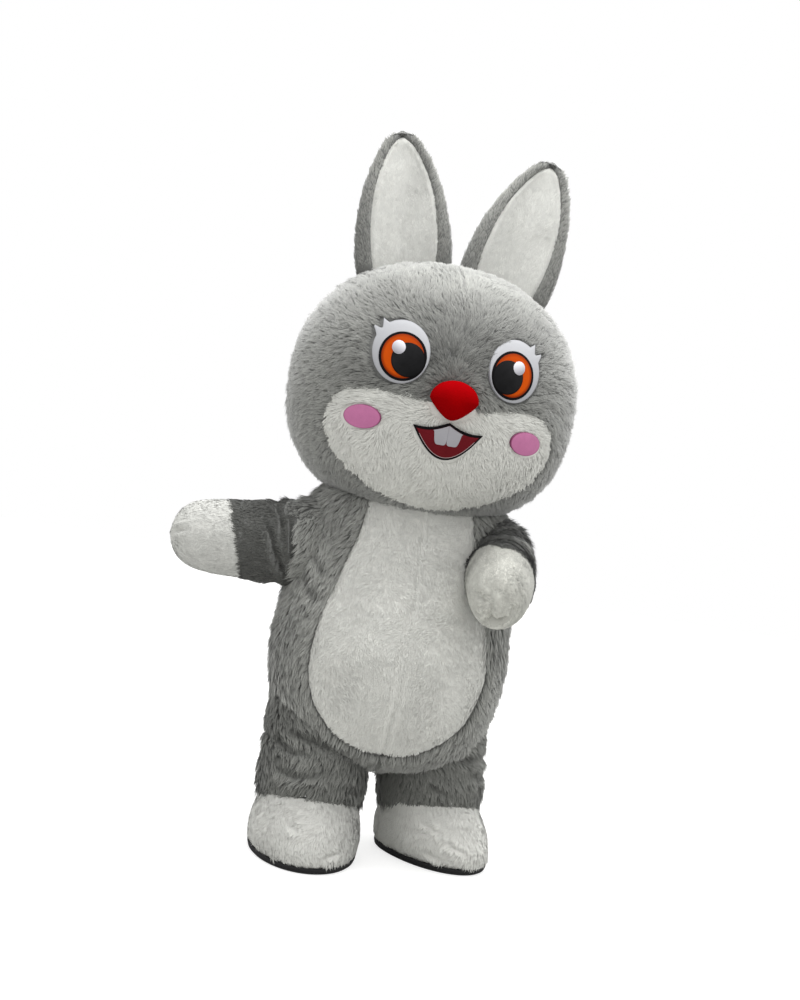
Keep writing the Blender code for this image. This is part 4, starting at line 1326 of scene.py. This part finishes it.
def addSole(side, columns=97):
    rim = footAt(side)(np.zeros(columns), np.linspace(0, 2 * math.pi, columns))
    middle = rim[:-1].mean(0)
    rings = []
    for height, share in foot["sole"]:
        ring = middle + (rim - middle) * share
        ring[:, 2] = height - neckHeight
        rings.append(ring)
    made = newObject(f"sole-{side}", sheetMesh("sole", capped(np.array(rings))))
    declare(smoothed(made, 40), soleRubber, f"sole_{side}")


for side in sides:
    addLeg(side)
    addFoot(side)
    addSole(side)
print("legs ready")

# sleeves and mitts
sleeveLook = dict(
    perMetre=75000, length=0.015, width=0.0028, lift=13, bulge=0.14, swirl=0.35, swirlSize=0.12,
    ruffle=0.16, tuft=10, gather=0.30, softness=0.78, bow=1.0,
)
mittFur = dict(
    perMetre=100000, length=0.0085, width=0.0032, lift=8, bulge=0.10, swirl=0.7, swirlSize=0.10,
    ruffle=0.20, tuft=10, gather=0.20, softness=0.985, bow=0.2,
)
armCreases = {
    "right": [
        ([(5.4, 34), (4.9, 12), (4.3, -16), (3.5, -44), (2.9, -72)], 0.009, 0.013),
        ([(3.3, 74), (2.8, 36), (2.5, 2), (2.3, -30)], 0.006, 0.010),
        ([(4.4, 66), (3.9, 40), (3.6, 10)], 0.006, 0.005),
        ([(11.4, 8), (10.6, 6), (9.5, 12)], 0.008, 0.011),
        ([(11.1, -14), (10.3, -12)], 0.007, 0.006),
        ([(2.0, 214), (2.4, 180), (2.2, 150)], 0.009, 0.009),
        ([(3.8, 222), (4.2, 184), (3.9, 150)], 0.009, 0.009),
    ],
    "left": [
        ([(3.2, 150), (3.7, 110), (3.4, 70)], 0.009, 0.010),
        ([(4.8, 200), (5.3, 170), (5.0, 130)], 0.009, 0.010),
        ([(6.4, 60), (6.1, 100)], 0.009, 0.006),
        ([(11.7, 246), (11.3, 268), (11.2, 292), (11.4, 312)], 0.011, 0.015),
        ([(11.5, 250), (12.3, 222), (12.2, 130)], 0.009, 0.011),
        ([(11.6, 254), (10.8, 246), (10.2, 240)], 0.010, 0.014),
        ([(11.3, 232), (10.6, 222), (10.0, 216)], 0.008, 0.010),
        ([(11.8, 176), (10.9, 172), (10.2, 176)], 0.010, 0.010),
        ([(11.9, 20), (11.2, 350), (10.9, 338)], 0.010, 0.009),
    ],
}


def cuffPlane(side, keepSleeve):
    # the half-space on one side of the mitt's seam, half a gap short of it
    def block(bm):
        bmesh.ops.create_cube(bm, size=1)
        bmesh.ops.translate(bm, vec=(0, 0, 0.5), verts=bm.verts)
        bmesh.ops.scale(bm, vec=(3, 3, 2), verts=bm.verts)
        bmesh.ops.translate(bm, vec=(0, 0, seamGap / 2), verts=bm.verts)

    place, lean = arm["cuff"][side]
    mesh = edited(bpy.data.meshes.new("cuff"), block)
    outwards, spot = ((-1, 0, 0), (place, 0)) if side == "right" else ((0, -1, 0), (0, place))
    towards = -Vector(outwards) if keepSleeve else Vector(outwards)
    turn = Matrix.Rotation(lean, 3, "Y") @ towards.to_track_quat("Z", "Y").to_matrix()
    mesh.transform(Matrix.Translation((*spot, arm["cuffHeight"][side] - neckHeight)) @ turn.to_4x4())
    made = newObject(f"cuff_{side}_{keepSleeve}", mesh)
    cutterList.append(made)
    return made


def pastCuff(side, points, normals):
    # how far the points lie past the line where white pile takes over from grey
    place, lean = arm["cuff"][side]
    if side == "left":
        # on its inner side the mitt's pile laps back over the seam
        inner = np.clip(-arm["lapTurn"] * normals[:, 0] - arm["lapFrom"], 0, 1)
        return place - points[:, 1] + arm["lap"] * inner
    above = points[:, 2] + neckHeight - arm["cuffHeight"][side]
    return (place - points[:, 0]) * math.cos(lean) + above * math.sin(lean)


armLooks = {
    # the ways that the sleeve's and the mitt's piles lie, how much painted light pales the sleeve, and the
    # mitt's cloth
    "right": dict(sleeve=(-1.0, 0, 0), mitt=(-1.0, 0, -0.3), paler=0.0, backing=paleBacking, plush=plushPale),
    "left": dict(
        sleeve=(-0.15, -1.0, -0.1), mitt=(0.2, 1.0, -0.2), paler=0.9,
        backing=soiledShadedBacking, plush=plushSoiledShaded,
    ),
}
shoulderEnd = dict(
    reach=0.07, shorter=0.88, top=2.4, topFrom=0.7, uneven=0.02, unevenSize=0.08, hang=-0.9, sleeveHang=-0.12,
)
# the bent mitt's pile: how much denser it is on its lap, and its tone, with painted shade the more it faces
# up
bentMitt = dict(denser=3, lapFrom=0.004, tone=0.7, topShade=2.8, topShadeFrom=0.3)


def addSleeveFur(side, grid, creases):
    name, way = f"sleeve_{side}", armLooks[side]["sleeve"]
    roots, normals = scatter(grid, sleeveLook["perMetre"])
    keep = ~inTorso(roots, buried["torso"]) & ~inHead(roots, buried["head"])
    keep &= pastCuff(side, roots, normals) < -0.001
    roots, normals = roots[keep], normals[keep]
    # the long pile of the body runs on past the armhole, as far as its deepest fold
    past = pastCuff(side, roots, normals) - arm["shoulder"][side]
    past = past + shoulderEnd["uneven"] * wobble(roots, shoulderEnd["unevenSize"], 3)
    folds = pileFolds(creases, 1.5)
    on = past < 0
    comb = np.tile(way, (on.sum(), 1)) + [0, 0, shoulderEnd["hang"]]
    # it is pressed flat on top, where it ends
    end = np.clip(1 + past[on] / shoulderEnd["reach"], 0, 1)
    top = np.clip(shoulderEnd["top"] * normals[on, 2] - shoulderEnd["topFrom"], 0, 1)
    trim = 1 - shoulderEnd["shorter"] * end * top
    growFur(
        f"furShoulder-{side}", roots[on], normals[on], comb, bodyFur, greyFur, [name], trim,
        folds=folds,
    )
    comb = np.tile(way, ((~on).sum(), 1)) + [0, 0, shoulderEnd["sleeveHang"]]
    growFur(
        f"furSleeve-{side}", roots[~on], normals[~on], comb, sleeveLook, sleeveFur, [name],
        paintedLight=armLooks[side]["paler"], folds=folds,
    )


def addMittFur(side, grid, creases):
    roots, normals = scatter(grid, mittFur["perMetre"])
    if side == "left":
        # it is denser where it laps over the grey sleeve, which would show through
        more, moreNormals = scatter(grid, bentMitt["denser"] * mittFur["perMetre"])
        lapped = more[:, 1] > arm["cuff"][side][0] - bentMitt["lapFrom"]
        roots, normals = np.vstack([roots, more[lapped]]), np.vstack([normals, moreNormals[lapped]])
    keep = pastCuff(side, roots, normals) > 0.0005
    roots, normals = roots[keep], normals[keep]
    comb = np.tile(armLooks[side]["mitt"], (len(roots), 1))
    paintedLight = 0.0
    if side == "left":
        # painted shade, darker the more it faces up, against the light from above
        paintedLight = bentMitt["tone"] - bentMitt["topShade"] * np.clip(bentMitt["topShadeFrom"] + normals[:, 2], 0, 1)
    growFur(
        f"plushMitt-{side}", roots, normals, comb, mittFur, armLooks[side]["plush"],
        [f"mitt_{side}"], paintedLight=paintedLight, folds=pileFolds(creases, 1.0, 0.7),
    )


for side in sides:
    surface = armAt(side)
    rows = evenRows(surface, 0.0, len(arm[side]) - 1 - 0.002, 54, angle=0.0)
    creases = creasesOn(surface, armCreases[side])
    grid = tube(surface, rows, 57, arm["pile"], creases)
    cutters = [torsoSolid, headSolid]
    clothPanel(f"sleeve_{side}", grid, greyBacking, "grey_fur", cutters, [cuffPlane(side, True)])
    clothPanel(f"mitt_{side}", grid, armLooks[side]["backing"], "white_fur", keep=[cuffPlane(side, False)])
    addSleeveFur(side, grid, creases)
    addMittFur(side, grid, creases)
print("arms ready")

# head and muzzle
headFurLook = dict(
    perMetre=110000, length=0.022, width=0.0029, lift=22, bulge=0.18, swirl=0.40, swirlSize=0.22,
    ruffle=0.22, tuft=14, gather=0.45, softness=0.75, bow=1.0,
)
muzzleLook = dict(
    headFurLook, perMetre=120000, width=0.0032, lift=10, bulge=0.12, swirl=0.5, swirlSize=0.12,
    ruffle=0.18, gather=0.42, softness=0.965,
)
# width and depth of the seams' dents: round the muzzle, and down the middle of the forehead
headSeams = dict(muzzle=(0.007, 0.0045), middle=(0.0035, 0.0022))
muzzleRows = 34  # of the head's 50 rows, those that reach past the muzzle


def crownAngle(u):
    # the crown seam's angle, from the side, on each row
    deep = headAt(u, np.full(np.shape(u), math.pi / 2))[:, 1]
    return np.arcsin(np.clip(head["crownSeam"] / np.maximum(deep, 1e-6), 0, 1))


def headGrids():
    rows = np.linspace(0, 0.9999, 50)
    seam = crownAngle(rows)
    half = seamGap / 0.8
    middle = lineAt(headAt, rows, -math.pi / 2)[28:]
    outline = np.array(muzzleLine + muzzleLine[:1])
    fine = np.linspace(0, len(outline) - 1, 160)
    x, height = (np.interp(fine, range(len(outline)), outline[:, k]) for k in (0, 1))
    border = onFace(x, height)[0]
    creases = [(border, *headSeams["muzzle"], 0.0), (middle, *headSeams["middle"], 0.0)]
    spans = {
        "head_front_left": (-math.pi / 2 + half, seam - half),
        "head_front_right": (math.pi - seam + half, 1.5 * math.pi - half),
        "head_back_left": (seam + half, np.full(rows.shape, math.pi / 2) - half),
        "head_back_right": (math.pi / 2 + half, math.pi - seam - half),
        "muzzle": (-math.pi, 0.0),
    }
    found = {}
    for name, (start, end) in spans.items():
        columns = 97 if name == "muzzle" else 49
        found[name] = sunk(gridOn(headAt, rows, start, end, columns), head["pile"], creases)
    return found


hood = headGrids()
hood["muzzle"] = hood["muzzle"][:muzzleRows]
for name, grid in hood.items():
    if name == "muzzle":
        clothPanel(name, grid, whiteBacking, "white_fur", keep=[muzzleShape], name="muzzle-panel")
    else:
        clothPanel(name, grid, greyBacking, "grey_fur", [muzzleHole] if "front" in name else [])
print("head panels ready")


def oval(x, height, halfWidth, halfHeight, count=48):
    a = np.linspace(0, 2 * math.pi, count, endpoint=False)
    return np.stack([x + halfWidth * np.cos(a), height + halfHeight * np.sin(a)], 1)


face = dict(
    # x, height, half width, half height, on the wearer's left
    white=(0.155, 1.432, 0.074, 0.085),
    line=(0.149, 1.419, 0.061, 0.065),
    iris=(0.149, 1.419, 0.054, 0.058),
    pupil=(0.134, 1.411, 0.043, 0.045),
    glint=(0.161, 1.440, 0.017, 0.018),
    cheek=(0.226, 1.246, 0.047, 0.032),
    eyeDome=0.004,
    # each lash: its direction and length
    lashes=[(math.radians(32), 0.022), (math.radians(51), 0.019)],
    lashSpread=0.15,
    lashCurl=0.06,
    mouth=dict(
        halfWidth=0.095, corner=1.247, top=1.266, depth=0.080, sag=0.006, narrowing=2.1, cusp=1.4, line=0.006,
        stitch=0.0010,
    ),
    tooth=dict(width=0.043, height=0.064, middle=1.238, taper=0.28, squareness=0.38, gap=0.0006),
    nose=dict(
        width=0.132, height=0.106, depth=0.045, behind=0.005, middle=1.326, taper=0.45,
        shine=(0.034, 0.024), shineDown=0.004,
    ),
)


def mirrored(outline, sign):
    points = np.array(outline)
    return points if sign > 0 else points[::-1] * [-1, 1]


def lashedOval(count=160):
    # the white's outline, with a curved point at each lash
    x, height, halfWidth, halfHeight = face["white"]
    a = np.linspace(0, 2 * math.pi, count, endpoint=False)
    reach = np.zeros(count)
    for at, length in face["lashes"]:
        tip = at + face["lashCurl"]
        below = np.clip((a - (at - face["lashSpread"])) / (tip - at + face["lashSpread"]), 0, 1)
        above = np.clip((at + face["lashSpread"] - a) / (at + face["lashSpread"] - tip), 0, 1)
        reach = np.maximum(reach, length * np.where(a < tip, below**1.3, above**2.2))
    return np.stack([x + (halfWidth + reach) * np.cos(a), height + (halfHeight + reach) * np.sin(a)], 1)


def lipHeight(x, shrink):
    # the mouth's upper edge
    mouth = face["mouth"]
    half = mouth["halfWidth"] - 1.6 * shrink
    share = np.clip(np.abs(x) / half, 0, 1)
    cusp = (mouth["top"] - mouth["corner"]) * (1 - share) ** mouth["cusp"]
    return mouth["corner"] - shrink + cusp - mouth["sag"] * np.sin(math.pi * share)


def mouthOutline(shrink, count=40):
    mouth = face["mouth"]
    half, deep = mouth["halfWidth"] - 1.6 * shrink, mouth["depth"] - 2 * shrink
    a = math.pi + math.pi * np.arange(count + 1) / count
    low = mouth["corner"] - shrink - deep * np.abs(np.sin(a)) ** mouth["narrowing"]
    x = half * (1 - 2 * np.arange(1, count) / count)
    return np.vstack([np.stack([half * np.cos(a), low], 1), np.stack([x, lipHeight(x, shrink)], 1)])


def toothOutline(sign, count=44):
    tooth = face["tooth"]
    a = np.linspace(0, 2 * math.pi, count, endpoint=False)
    across = np.sign(np.cos(a)) * np.abs(np.cos(a)) ** tooth["squareness"]
    along = np.sign(np.sin(a)) * np.abs(np.sin(a)) ** tooth["squareness"]
    x = tooth["width"] / 2 * (sign + across) * (1 - tooth["taper"] * (1 - along) / 2)
    height = tooth["middle"] + tooth["height"] / 2 * along
    return np.stack([x, np.minimum(height, lipHeight(x, face["mouth"]["line"]) - tooth["gap"])], 1)


def eyeLift(x, height):
    # the eye bulges a little, with all that lies on it
    middleX, middle, halfWidth, halfHeight = face["white"]
    far = ovalShare(np.abs(x) - middleX, height - middle, halfWidth, halfHeight)
    return face["eyeDome"] * np.clip(1 - far, 0, 1)


plateRim = dict(inset=(0, 0.08, 0.3, 0.6, 1.0), inner=(0.85, 0.65, 0.45, 0.25, 0.1, 0))


def facePlate(name, outline, levels, material, slot, rounding, dome=0.0, lift=None, shade=(0.0, 0.0)):
    # a closed plate on the head's front, from one level over its surface to another
    low, top = levels
    outline = np.array(outline)
    middle = (outline.max(0) + outline.min(0)) / 2
    size = np.abs(outline - middle).max(0)
    inset = np.array(plateRim["inset"]) * rounding
    shares = [*(1 - inset / size.min()), *plateRim["inner"]]
    drops = rounding * (1 - np.sqrt(np.clip(1 - (1 - inset / rounding) ** 2, 0, 1)))
    drops = [*drops, *np.zeros(len(plateRim["inner"]))]
    rows = [(0, low), (0.5, low), (1, low)] + [(share, top - drop) for share, drop in zip(shares, drops)]
    closed = np.vstack([outline, outline[:1]])
    grid, rim, tone = [], [], []
    for i, (share, level) in enumerate(rows):
        onTop = i > 2
        spot = middle + (closed - middle) * share
        place, normal = onFace(spot[:, 0], spot[:, 1])
        height = np.full(len(closed), level) + (dome * (1 - share**2) if onTop else 0)
        if lift is not None:
            height = height + lift(spot[:, 0], spot[:, 1])
        grid.append(place + normal * height[:, None])
        rim.append(np.full(len(closed), share if onTop else 1.0))
        # the share of the shade colour: painted light and shade across the plate, from one side to the other
        tone.append((0.5 if any(shade) else 0) + 0.5 * ((spot - middle) / size * shade).sum(1))
    values = dict(rimShare=np.array(rim), shadeShare=np.clip(tone, 0, 1))
    made = newObject(name, sheetMesh(name, np.array(grid), **values))
    return declare(smoothed(made, 60), material, name.replace("-", "_"))


# its shade colour, towards the lower outer side, is painted shade
eyeWhite = plateMaterial(
    "eyeWhite", (0.45, 0.455, 0.472), (0.36, 0.365, 0.385), (0.39, 0.395, 0.415), 0.94, 0.05, 0.6,
)
lineBlack = plateMaterial(
    "lineBlack", (0.007, 0.006, 0.007), (0.009, 0.008, 0.009), (0.007, 0.007, 0.007), 0.9, 0.3, 0.8,
    specular=0.03,
)
# its darker edge and darker inner top are painted shade beside the black line
irisOrange = plateMaterial(
    "irisOrange", (0.60, 0.082, 0.003), (0.26, 0.030, 0.003), (0.42, 0.052, 0.003), 0.82, 0.10, 0.6,
    specular=0.04,
)
# its paler shade colour, towards the upper outer side, is a painted reflection
pupilMesh = plateMaterial(
    "pupilMesh", (0.006, 0.006, 0.0065), (0.004, 0.004, 0.004), (0.018, 0.018, 0.019), 0.9, 0.9, 0.5, 1500.0,
    coat=0.03, bump=0.0004, specular=0.04,
)
glintPearl = plateMaterial(
    "glintPearl", (0.74, 0.74, 0.77), (0.62, 0.62, 0.66), (0.36, 0.35, 0.39), 0.9, 0.04, 0.4, coat=0.2,
)
# its shade colour, towards the lower side, is painted shade
cheekFelt = plateMaterial(
    "cheekFelt", (0.55, 0.185, 0.36), (0.22, 0.05, 0.12), (0.52, 0.17, 0.34), 0.92, 0.3, 0.9,
    sheen=0.2, bump=0.0006,
)
# its shade colour, towards the bottom, is painted shade
mouthFelt = plateMaterial(
    "mouthFelt", (0.155, 0.0125, 0.018), (0.10, 0.008, 0.012), (0.13, 0.011, 0.015), 0.95, 0.35, 0.9,
    bump=0.0005, specular=0.02,
)
# its shade colour, towards the lower outer side, is painted shade
toothFelt = plateMaterial(
    "toothFelt", (0.42, 0.415, 0.44), (0.38, 0.375, 0.40), (0.37, 0.365, 0.39), 0.9, 0.10, 0.8, bump=0.0003,
)
stitchPale = plateMaterial(
    "stitchPale", (0.55, 0.42, 0.42), (0.5, 0.38, 0.38), (0.5, 0.38, 0.38), 0.9, 0.2, 0.7,
)
# its shade colour, paler than its own, is a painted highlight
noseVelvet = plateMaterial(
    "noseVelvet", (0.275, 0.0010, 0.0022), (0.30, 0.001, 0.002), (0.30, 0.0009, 0.0018), 0.97, 0.22, 0.8,
    bump=0.0003, specular=0.0,
)


eyeParts = {
    # the levels between which it lies, material, slot, rounding, dome, and the way to its side of painted
    # shade (on the pupil a painted reflection, on the glint its printed gradient)
    "eye-white": ((-0.0064, 0.0030), eyeWhite, "eye_white", 0.0022, 0.0, (0.3, -0.8)),
    "eye-line": ((0.0031, 0.0037), lineBlack, "line_black", 0.0005, 0.0, (0.0, 0.0)),
    "iris": ((0.0038, 0.0042), irisOrange, "iris_orange", 0.0004, 0.0, (-0.5, 0.8)),
    "pupil": ((0.0043, 0.0056), pupilMesh, "pupil_black", 0.0012, 0.0014, (0.5, 0.4)),
    "glint": ((0.0060, 0.0068), glintPearl, "eye_white", 0.0008, 0.0022, (0.5, -0.9)),
}
def addEyes():
    for side, sign in sides.items():
        for name, (levels, material, slot, rounding, dome, shade) in eyeParts.items():
            outline = lashedOval() if name == "eye-white" else oval(*face[name.replace("eye-", "")], 72)
            shade = (shade[0] * sign, shade[1])
            plate = (f"{name}-{side}", mirrored(outline, sign), levels, material, slot, rounding, dome)
            facePlate(*plate, lift=eyeLift, shade=shade)
        outline = mirrored(oval(*face["cheek"], 72), sign)
        look = dict(rounding=0.0012, dome=0.0010, shade=(0.2, -0.6))
        cheek = facePlate(f"cheek-{side}", outline, (-0.0062, 0.0010), cheekFelt, "cheek_pink", **look)


def addMouth():
    line = face["mouth"]["line"]
    rim = facePlate("mouth-line", mouthOutline(0), (-0.0062, 0.0014), lineBlack, "line_black", 0.0010)
    look = dict(rounding=0.0005, shade=(0.0, -0.9))
    red = facePlate("mouth-inside", mouthOutline(line), (0.0015, 0.0021), mouthFelt, "mouth_red", **look)
    addStitch(mouthOutline(line + face["mouth"]["stitch"])[6:35])
    for side, sign in sides.items():
        look = dict(rounding=0.0004, dome=0.0004, shade=(0.2 * sign, -0.7))
        levels = (0.0022, 0.0031)
        tooth = facePlate(f"tooth-{side}", toothOutline(sign), levels, toothFelt, "tooth_white", **look)


def addStitch(line):
    # a fine pale stitch line runs round the lower edge of the red
    place, normal = onFace(line[:, 0], line[:, 1])
    across = unit(np.cross(np.gradient(place, axis=0), normal))
    section = [(-0.0006, 0.0021), (0.0006, 0.0021), (0.0005, 0.0027), (-0.0005, 0.0027), (-0.0006, 0.0021)]
    grid = capped(np.stack([place + across * aside + normal * level for aside, level in section], 1))
    declare(newObject("mouth-stitch", sheetMesh("mouth-stitch", grid[:, ::-1])), stitchPale)


def addNose():
    nose = face["nose"]
    up = np.linspace(-math.pi / 2, math.pi / 2, 41)[:, None]
    around = np.linspace(0, 2 * math.pi, 65)[None, :]
    narrow = 1 - nose["taper"] * np.maximum(0, -np.sin(up))
    x = nose["width"] / 2 * narrow * np.cos(up) * np.cos(around)
    front = np.cos(up) * np.sin(around)
    deep = np.where(front < 0, nose["depth"], nose["behind"])
    y = deep * front - head["front"] * headShare(nose["middle"])
    height = nose["height"] / 2 * np.sin(up) + nose["middle"] + 0 * x
    # a painted highlight on the middle of the nose's front
    wide, high = nose["shine"]
    shade = np.exp(-((x / wide) ** 2) - ((height - nose["middle"] + nose["shineDown"]) / high) ** 2)
    values = dict(rimShare=np.where(front < 0, 0.5, 1.0), shadeShare=shade)
    made = newObject("nose-ball", sheetMesh("nose-ball", point(x, y, height), **values))
    made.data.shade_smooth()
    declare(made, noseVelvet, "nose")


addEyes()
addMouth()
addNose()
print("face ready")

# the head's fur keeps clear of what lies on the face, and locks that would hang over it are clipped
noseForm = face["nose"]
covers = [
    # outline, how far it is grown, and whether no root may lie under it
    (mouthOutline(0), 0.002, True),
    (oval(0, noseForm["middle"], noseForm["width"] / 2 - 0.002, noseForm["height"] / 2 - 0.004), 0.0, True),
]
for sign in (1, -1):
    covers.append((mirrored(lashedOval(), sign), 0.001, True))
    covers.append((mirrored(oval(*face["cheek"]), sign), 0.002, True))


# how far ahead of a root a lock's end is looked for, at which shares of that, and how much is kept
clipping = dict(ahead=1.3, shares=(1.0, 0.85, 0.7, 0.55, 0.42, 0.3, 0.2), kept=0.8, margin=0.04)


def besideCovers(roots, comb, length, others=()):
    # which roots lie under a cover, and the share of its length that each lock may keep
    under = np.zeros(len(roots), bool)
    trim = np.ones(len(roots))
    way = unit(comb) * length * clipping["ahead"]
    for outline, grow, bare in [*covers, *others]:
        grown = grownOutline(outline, grow)
        low, high = grown.min(0) - clipping["margin"], grown.max(0) + clipping["margin"]
        height = roots[:, 2] + neckHeight
        beside = (roots[:, 0] > low[0]) & (roots[:, 0] < high[0]) & (height > low[1]) & (height < high[1])
        near = np.flatnonzero((roots[:, 1] < 0) & beside)
        reach = np.ones(len(near))
        for share in clipping["shares"]:
            reach[insideOutline(roots[near] + way[near] * share, grown)] = share * clipping["kept"]
        trim[near] = np.minimum(trim[near], reach)
        if bare:
            under[near] |= insideOutline(roots[near], grown)
    return under, trim


headLie = dict(
    # the height that the fur spreads from, and where it turns to hang: share, below, over
    whorl=1.345, hang=[(0.25, 1.20, 0.2), (0.35, 1.43, 0.1)], sides=0.2, behind=(0.05, 0.25), backwards=0.4,
)
# painted light on the head's pile: paler over the crown and at the sides, darker round the eyes
headLightAndShade = dict(
    crown=1.3, crownFrom=1.56, crownOver=0.10, sides=1.0, sidesFrom=0.24, sidesOver=0.12,
    eyes=2.0, eyesHeight=1.46, eyesSpread=(0.23, 0.11), front=0.1,
)
muzzleTop = dict(height=1.24, over=0.06, rise=(-0.35, 0.6))


def headComb(roots):
    # the fur lies outwards from between the eyes, more and more downwards at the sides and the back
    away = unit(roots - np.array([0, -head["front"], headLie["whorl"] - neckHeight]))
    height = roots[:, 2] + neckHeight
    start, over = headLie["behind"]
    behind = np.clip((roots[:, 1] + start) / over, 0, 1)[:, None]
    low = sum(share * np.clip((below - height) / over, 0, 1) for share, below, over in headLie["hang"])
    low = (low * np.clip(np.abs(roots[:, 0]) / headLie["sides"], 0, 1))[:, None]
    down, backwards = np.array([0, 0, -1.0]), np.array([0, headLie["backwards"], 0])
    return away * (1 - behind) + down * (behind + low) + backwards * behind * (1 - behind)


def headPaintedLight(roots):
    # painted highlight over the crown and at the sides, and painted shade round the eyes, where the pile
    # stands towards the front
    height = roots[:, 2] + neckHeight
    wide, high = headLightAndShade["eyesSpread"]
    front = np.clip(-roots[:, 1] / headLightAndShade["front"], 0, 1)
    mask = np.exp(-((roots[:, 0] / wide) ** 2) - ((height - headLightAndShade["eyesHeight"]) / high) ** 2) * front
    sides = np.clip((np.abs(roots[:, 0]) - headLightAndShade["sidesFrom"]) / headLightAndShade["sidesOver"], 0, 1)
    crown = np.clip((height - headLightAndShade["crownFrom"]) / headLightAndShade["crownOver"], 0, 1)
    return headLightAndShade["crown"] * crown + headLightAndShade["sides"] * sides - headLightAndShade["eyes"] * mask


# the forehead's middle seam, shown in the pile as painted shade
hoodSeam = (lineOn(headAt, [(0.98, -90), (0.74, -90)], 24), 0.0048, 0.020, 0.3)
backOfHead = dict(perMetre=40000, length=0.026, width=0.0046)


def growHead():
    for label, look in (("front", headFurLook), ("back", dict(headFurLook, **backOfHead))):
        names = [f"head_{label}_left", f"head_{label}_right"]
        roots, normals = scatterOn([hood[name] for name in names], look["perMetre"])
        inside = insideOutline(roots, grownOutline(muzzleLine, -0.001)) & (roots[:, 1] < 0)
        comb = headComb(roots)
        under, trim = besideCovers(roots, comb, look["length"], [(muzzleLine, -0.008, False)])
        keep = ~(under | inside)
        growFur(
            f"furHead-{label}", roots[keep], normals[keep], comb[keep], look, headFur, names,
            trim[keep], headPaintedLight(roots[keep]), [hoodSeam],
        )
    roots, normals = scatter(hood["muzzle"], muzzleLook["perMetre"])
    # at the muzzle's upper edge it lies up and outwards, over the grey
    rise = (roots[:, 2] + neckHeight - muzzleTop["height"]) / muzzleTop["over"]
    rise = np.clip(rise, *muzzleTop["rise"])
    comb = headComb(roots) + rise[:, None] * [0, 0, 1]
    under, trim = besideCovers(roots, comb, muzzleLook["length"])
    keep = insideOutline(roots, grownOutline(muzzleLine, -0.002)) & ~under
    growFur(
        "furMuzzle", roots[keep], normals[keep], comb[keep], muzzleLook, muzzleFur, ["muzzle"],
        trim[keep],
    )


growHead()
print("head fur ready")

# ears
earFurLook = dict(headFurLook, perMetre=65000, length=0.013, width=0.0032, lift=14, gather=0.35, swirl=0.3)
innerFurLook = dict(mittFur, perMetre=100000, length=0.010, swirl=0.4)
earSeam = (0.005, 0.003)  # width and depth of its dent
earTip = dict(reach=0.035, start=1.3, rounding=0.05)
# painted light and shade on the ears' grey pile
earLightAndShade = dict(
    paleFrom=1.80, over=0.09, tones=(-0.6, 1.6), outer=1.8, outerShade=-0.2, base=2.2, baseReach=0.03,
)


def addEarPile(name, side, grid, tip, upwards, look, fur, owner):
    roots, normals = scatter(grid, look["perMetre"])
    keep = ~inHead(roots, buried["earInHead"])
    # over the tip it lies towards the back
    near = np.clip(earTip["start"] - np.linalg.norm(roots - tip, axis=1) / earTip["reach"], 0, 1)[:, None]
    normals = unit(normals * (1 - near) + unit(roots - tip + earTip["rounding"] * upwards) * near)
    comb = upwards * (1 - near) + np.array([0, 1.0, 0]) * near
    roots, normals, comb = roots[keep], normals[keep], comb[keep]
    paintedLight = 0.0
    if owner == "ear_back":
        # painted light, paler towards the tip and on the left ear's outer side, and painted shade over the
        # right ear and beside the head
        outer = np.clip(normals[:, 0], 0, 1) if side == "left" else earLightAndShade["outerShade"]
        paintedLight = (roots[:, 2] + neckHeight - earLightAndShade["paleFrom"]) / earLightAndShade["over"]
        paintedLight = np.clip(paintedLight, *earLightAndShade["tones"]) + earLightAndShade["outer"] * outer
        paintedLight = paintedLight - earLightAndShade["base"] * inHead(roots, earLightAndShade["baseReach"])
    growFur(f"{name}-{side}", roots, normals, comb, look, fur, [f"{owner}_{side}"], paintedLight=paintedLight)


def addEar(side):
    surface = earAt(side)
    rows = evenRows(surface, 0, 7.995, 44)
    edge, half = earEdge(rows), seamGap / 0.2
    borders = [lineAt(surface, rows, angle) for angle in (-edge, math.pi + edge)]
    creases = [(line, *earSeam, 0.0) for line in borders]
    back = sunk(gridOn(surface, rows, -edge + half, math.pi + edge - half, 57), ear["pile"], creases)
    rows = rows[rows < 6.9]
    edge = earEdge(rows)
    inner = sunk(gridOn(surface, rows, -math.pi + edge + half, -edge - half, 33), ear["pile"], creases)
    clothPanel(f"ear_back_{side}", back, greyBacking, "grey_fur", [headSolid])
    clothPanel(f"ear_inner_{side}", inner, paleBacking, "ear_plush", [headSolid])
    splay = ear["place"][side][3]
    upwards = np.array([math.sin(splay), 0, math.cos(splay)])
    tip = surface(np.array([7.99]), np.array([0.0]))[0]
    addEarPile("furEar", side, back, tip, upwards, earFurLook, earFur, "ear_back")
    addEarPile("plushEar", side, inner, tip, upwards, innerFurLook, plushPale, "ear_inner")


for side in sides:
    addEar(side)
print("ears ready")

for made in cutterList:
    bpy.data.objects.remove(made)
